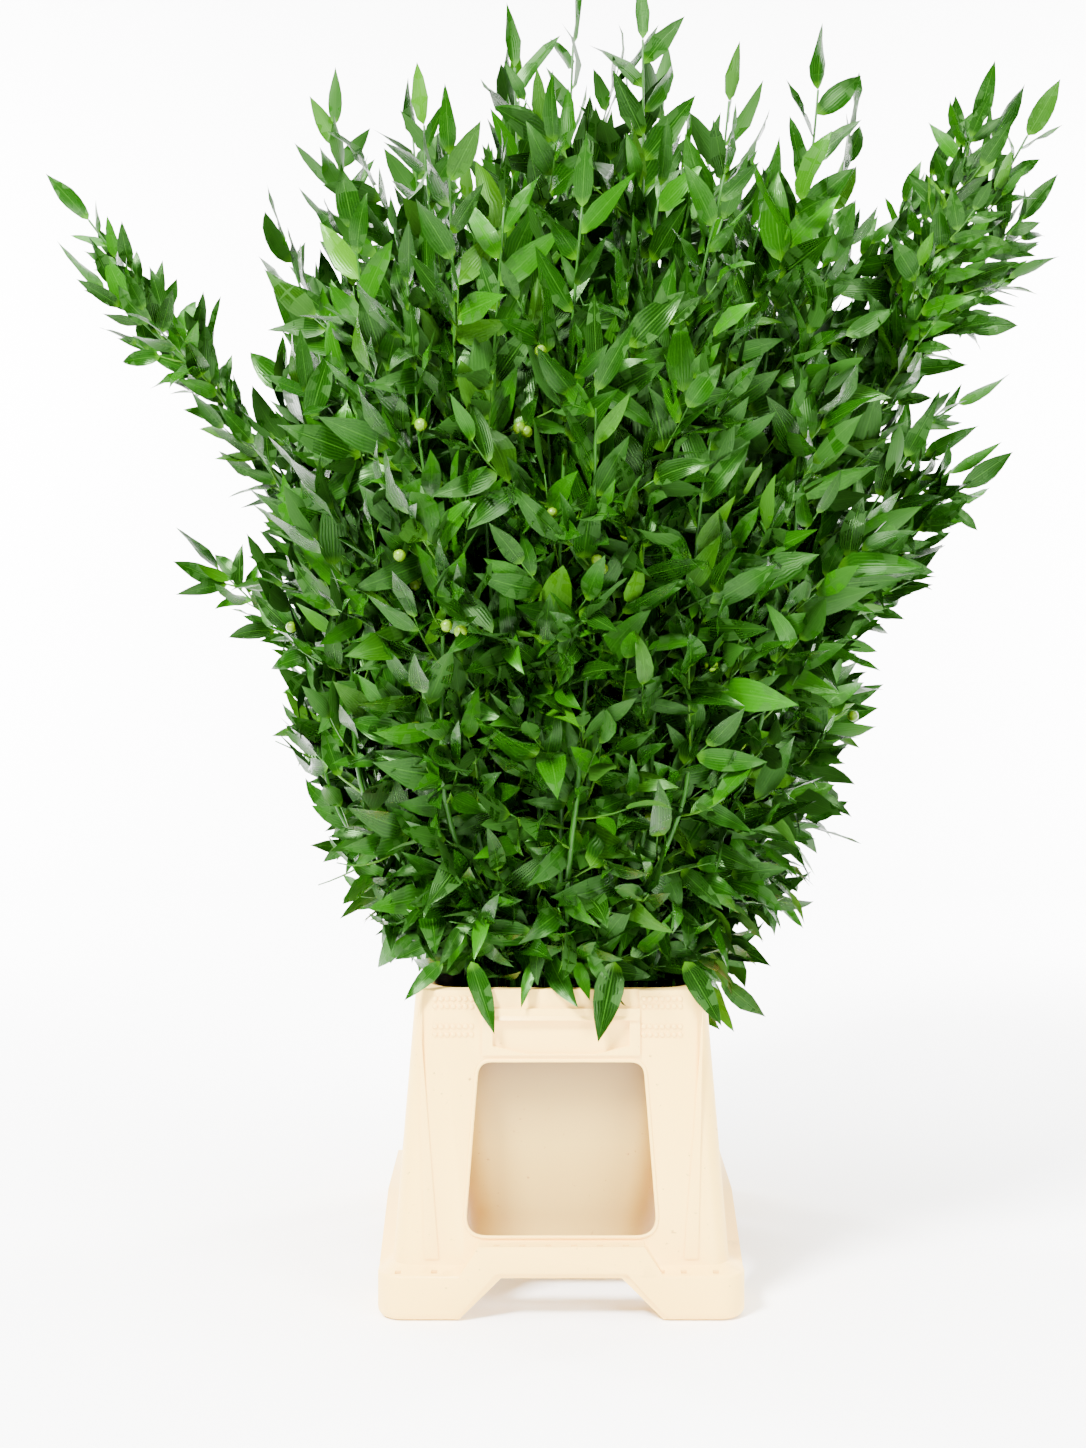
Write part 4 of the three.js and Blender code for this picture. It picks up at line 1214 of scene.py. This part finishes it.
# What the moulding shows on its front and back: the hand grip over the window, the draft lines and drain slots
frontLook = {
    "plate": (61, 197.5, 233),  # half width, lower and upper height of the raised plate over the window
    "plateHigh": 2,
    "pocket": [(-25, 198.2), (25, 198.2), (53, 204.5), (53, 224), (-53, 224), (-53, 204.5)],
    "pocketDeep": 2.4,
    "grip": (61.5, 233, 250),
    "gripDeep": 2.3,
    "ridge": [(-60.5, 224.5), (60.5, 224.5), (60.5, 233.4), (-60.5, 233.4)],
    "ridgeOut": (4, 4, -2, -2),  # how far the ridge's corners stand out
    "drafts": [[(-105, 44), (-94, 44), (-107.5, 205), (-110, 240)],
               [(94, 44), (105, 44), (110, 240), (107.5, 205)]],
    "draftHigh": 1.3,
    # drain slots as the middles of a row, its height and how far it stands off the bucket's middle
    "drains": (([-49.3 + 19.7 * k for k in range(6)], 57, 184.5), ([-124.6, -97, 76.8, 93.5, 118], 37, 182.5)),
    "drain": (4.6, 4.6),  # a slot's length and width
}


def frontDetails(s):
    half, low, high = s["plate"]
    plates = onFront(trapezoid(half, half, low, high), -1, s["plateHigh"])
    for outline in s["drafts"]:
        plates += onFront(outline, -0.8, s["draftHigh"])
    half, low, high = s["grip"]
    cuts = onFront(s["pocket"], -s["pocketDeep"], 3)
    cuts += onFront(trapezoid(half, half - 1.5, low, high), -s["gripDeep"], 4)
    ridges = onFront(s["ridge"], -2.2, np.array(s["ridgeOut"]))
    long, wide = s["drain"]
    slots = []
    for middles, level, off in s["drains"]:
        for x in middles:
            left, right = x - long / 2, x + long / 2
            slot = [(left, level - 6), (right, level - 6), (right, level + 3), (left, level + 3)]
            slots += [(slot, off - wide / 2, off + wide / 2, side) for side in (0, 2)]
    return [("UNION", prisms("plates", plates)), ("DIFFERENCE", prisms("pockets", cuts)),
            ("UNION", prisms("ridges", ridges)), ("DIFFERENCE", prisms("drains", slots))]


def tubMesh(s):
    wall, low, under, edge = s["wall"], s["underside"], s["underEdge"], s["floorEdge"]
    quarter = quarterTurn(4)
    rounds = [tubSection(low + under * grows, wall - under * falls) for grows, falls in quarter]
    rounds += [tubSection(bucket["height"] - below, grow) for below, grow in s["rim"]]
    rounds += [tubSection(low + wall + edge * falls, -edge * grows) for grows, falls in quarter]
    return loft("tub", rounds)


def beadMesh(name, rows, radius, sides=8):
    # round beads along closed paths of equally many points
    paths = np.array(rows) * mm
    number, count = paths.shape[:2]
    closed = np.concatenate([paths[:, -1:], paths, paths[:, :1]], axis=1)
    rounds = tubeRings(closed, np.full(closed.shape[:2], radius * mm), sides)[:, 1:-1]
    i = np.arange(sides)
    j = (i + 1) % sides
    k = np.arange(count)[:, None] * sides
    after = (k + sides) % (count * sides)
    quads = np.stack([k + i, k + j, after + j, after + i], axis=-1).reshape(-1, 4)
    start = np.arange(number)[:, None, None] * count * sides
    return buildMesh(name, rounds.reshape(-1, 3), [(quads + start).reshape(-1, 4)])


# Grip pattern at the top corners of the front and back: rows of small scallops over and under a plain strip
scallops = {
    "middles": (-83.5, 78),
    "columns": 7,
    "step": 4.7,
    "rows": (240.4, 234.6, 219.2, 213),
    "size": (2.25, 1.7, 2.2),
    "angles": (100, 75, 50, 25),
}


def scallopMesh(s):
    # half egg shapes sunk into the face: centre + (a cos p sin q, -b cos q, c sin p sin q)
    columns = (np.arange(s["columns"]) - (s["columns"] - 1) / 2) * s["step"]
    x, z, column = (part.ravel() for part in np.meshgrid(s["middles"], s["rows"], columns, indexing="ij"))
    p = np.arange(12) * math.pi / 6
    q = np.radians(s["angles"])[:, None]
    a, b, c = s["size"]
    ring = np.stack([a * np.cos(p) * np.sin(q), -b * np.cos(q) + 0 * p, c * np.sin(p) * np.sin(q)], axis=-1)
    rounds = np.stack([x + column, -faceAt(z), z], axis=1)[:, None, None] + ring
    rounds = np.concatenate([rounds, rounds * [-1, -1, 1]]) * mm
    return buildMesh("scallops", rounds.reshape(-1, 3), tubeFaces(*rounds.shape[:3]))


def makeBucket(b):
    shell, inner = shellMesh(b), tubMesh(tub)
    shell.polygons.foreach_set("use_smooth", np.ones(len(shell.polygons), dtype=bool))
    shell.set_sharp_from_angle(angle=math.radians(b["sharpAngle"]))
    inner.set_sharp_from_angle(angle=math.radians(tub["sharpAngle"]))
    x, z = windowOutline(b["windows"][0], 0.3).T
    beads = [np.stack([-sign * x, sign * (faceAt(z) - 0.3), z], axis=1) for sign in (-1, 1)]
    addPiece("shell", shell, plasticMaterial, ["bucket_shell"])
    addPiece("tub", inner, tubMaterial, ["bucket_tub"])
    windowBeads = beadMesh("window_beads", beads, b["beadRadius"])
    addPiece("window_beads", windowBeads, plasticMaterial)
    addPiece("scallops", scallopMesh(scallops), plasticMaterial)
    water = next(thing for thing in bpy.data.objects if thing.name.split(".")[0] == "water")
    for slot in water.material_slots:
        slot.material = waterMaterial
    print("bucket", len(shell.polygons), "faces")


makeBucket(bucket)


# Stage: a pale floor that runs up into a pale wall, and soft studio light
studio = {"floorHalf": 6, "wall": 3.2, "bend": 1.0, "high": 6, "white": "#fcfcfc", "rough": 0.9, "world": 0.14}


def addStage(s):
    paper = {"Base Color": linear(s["white"]), "Roughness": s["rough"]}
    half, depth, radius = s["floorHalf"], s["wall"], s["bend"]
    bend = [(depth - radius + radius * math.sin(a), radius - radius * math.cos(a))
            for a in np.linspace(0, math.pi / 2, 13)]
    profile = [(-half, 0), *bend, (depth, s["high"])]
    points = np.array([(x, y, z) for y, z in profile for x in (-half, half)])
    k = np.arange(len(profile) - 1)[:, None] * 2
    faces = np.concatenate([k, k + 1, k + 3, k + 2], axis=1)
    mesh = buildMesh("studio_floor", points, [faces])
    floor = bpy.data.objects.new("studio_floor", mesh)
    bpy.context.collection.objects.link(floor)
    mesh.materials.append(setShader(newMaterial("studio paper"), paper))


lamps = [
    {"name": "key", "place": (-1.5, -2.0, 2.9), "aim": (0, 0, 0.5), "size": 0.8, "watts": 800},
    {"name": "fill", "place": (2.2, -2.4, 1.5), "aim": (0, 0, 0.4), "size": 1.4, "watts": 240},
    {"name": "top", "place": (0.1, -0.2, 3.0), "aim": (0, 0, 0), "size": 1.8, "watts": 300},
    {"name": "wall_left", "place": (-2.2, 1.6, 1.2), "aim": (-0.4, 3.2, 0.6), "size": 1.6, "watts": 430},
    {"name": "wall_right", "place": (2.2, 1.6, 1.2), "aim": (0.4, 3.2, 0.6), "size": 1.6, "watts": 430},
]


def addLamps(rows):
    for row in rows:
        data = bpy.data.lights.new(row["name"], "AREA")
        data.size = row["size"]
        data.energy = row["watts"]
        lamp = bpy.data.objects.new(row["name"], data)
        bpy.context.collection.objects.link(lamp)
        lamp.location = row["place"]
        way = Vector(row["aim"]) - Vector(row["place"])
        lamp.rotation_euler = way.to_track_quat("-Z", "Y").to_euler()


def addWorld(s):
    world = bpy.data.worlds.new("soft light")
    bpy.context.scene.world = world
    world.use_nodes = True
    background = world.node_tree.nodes["Background"]
    background.inputs["Color"].default_value = (1, 1, 1, 1)
    background.inputs["Strength"].default_value = s["world"]


addStage(studio)
addLamps(lamps)
addWorld(studio)
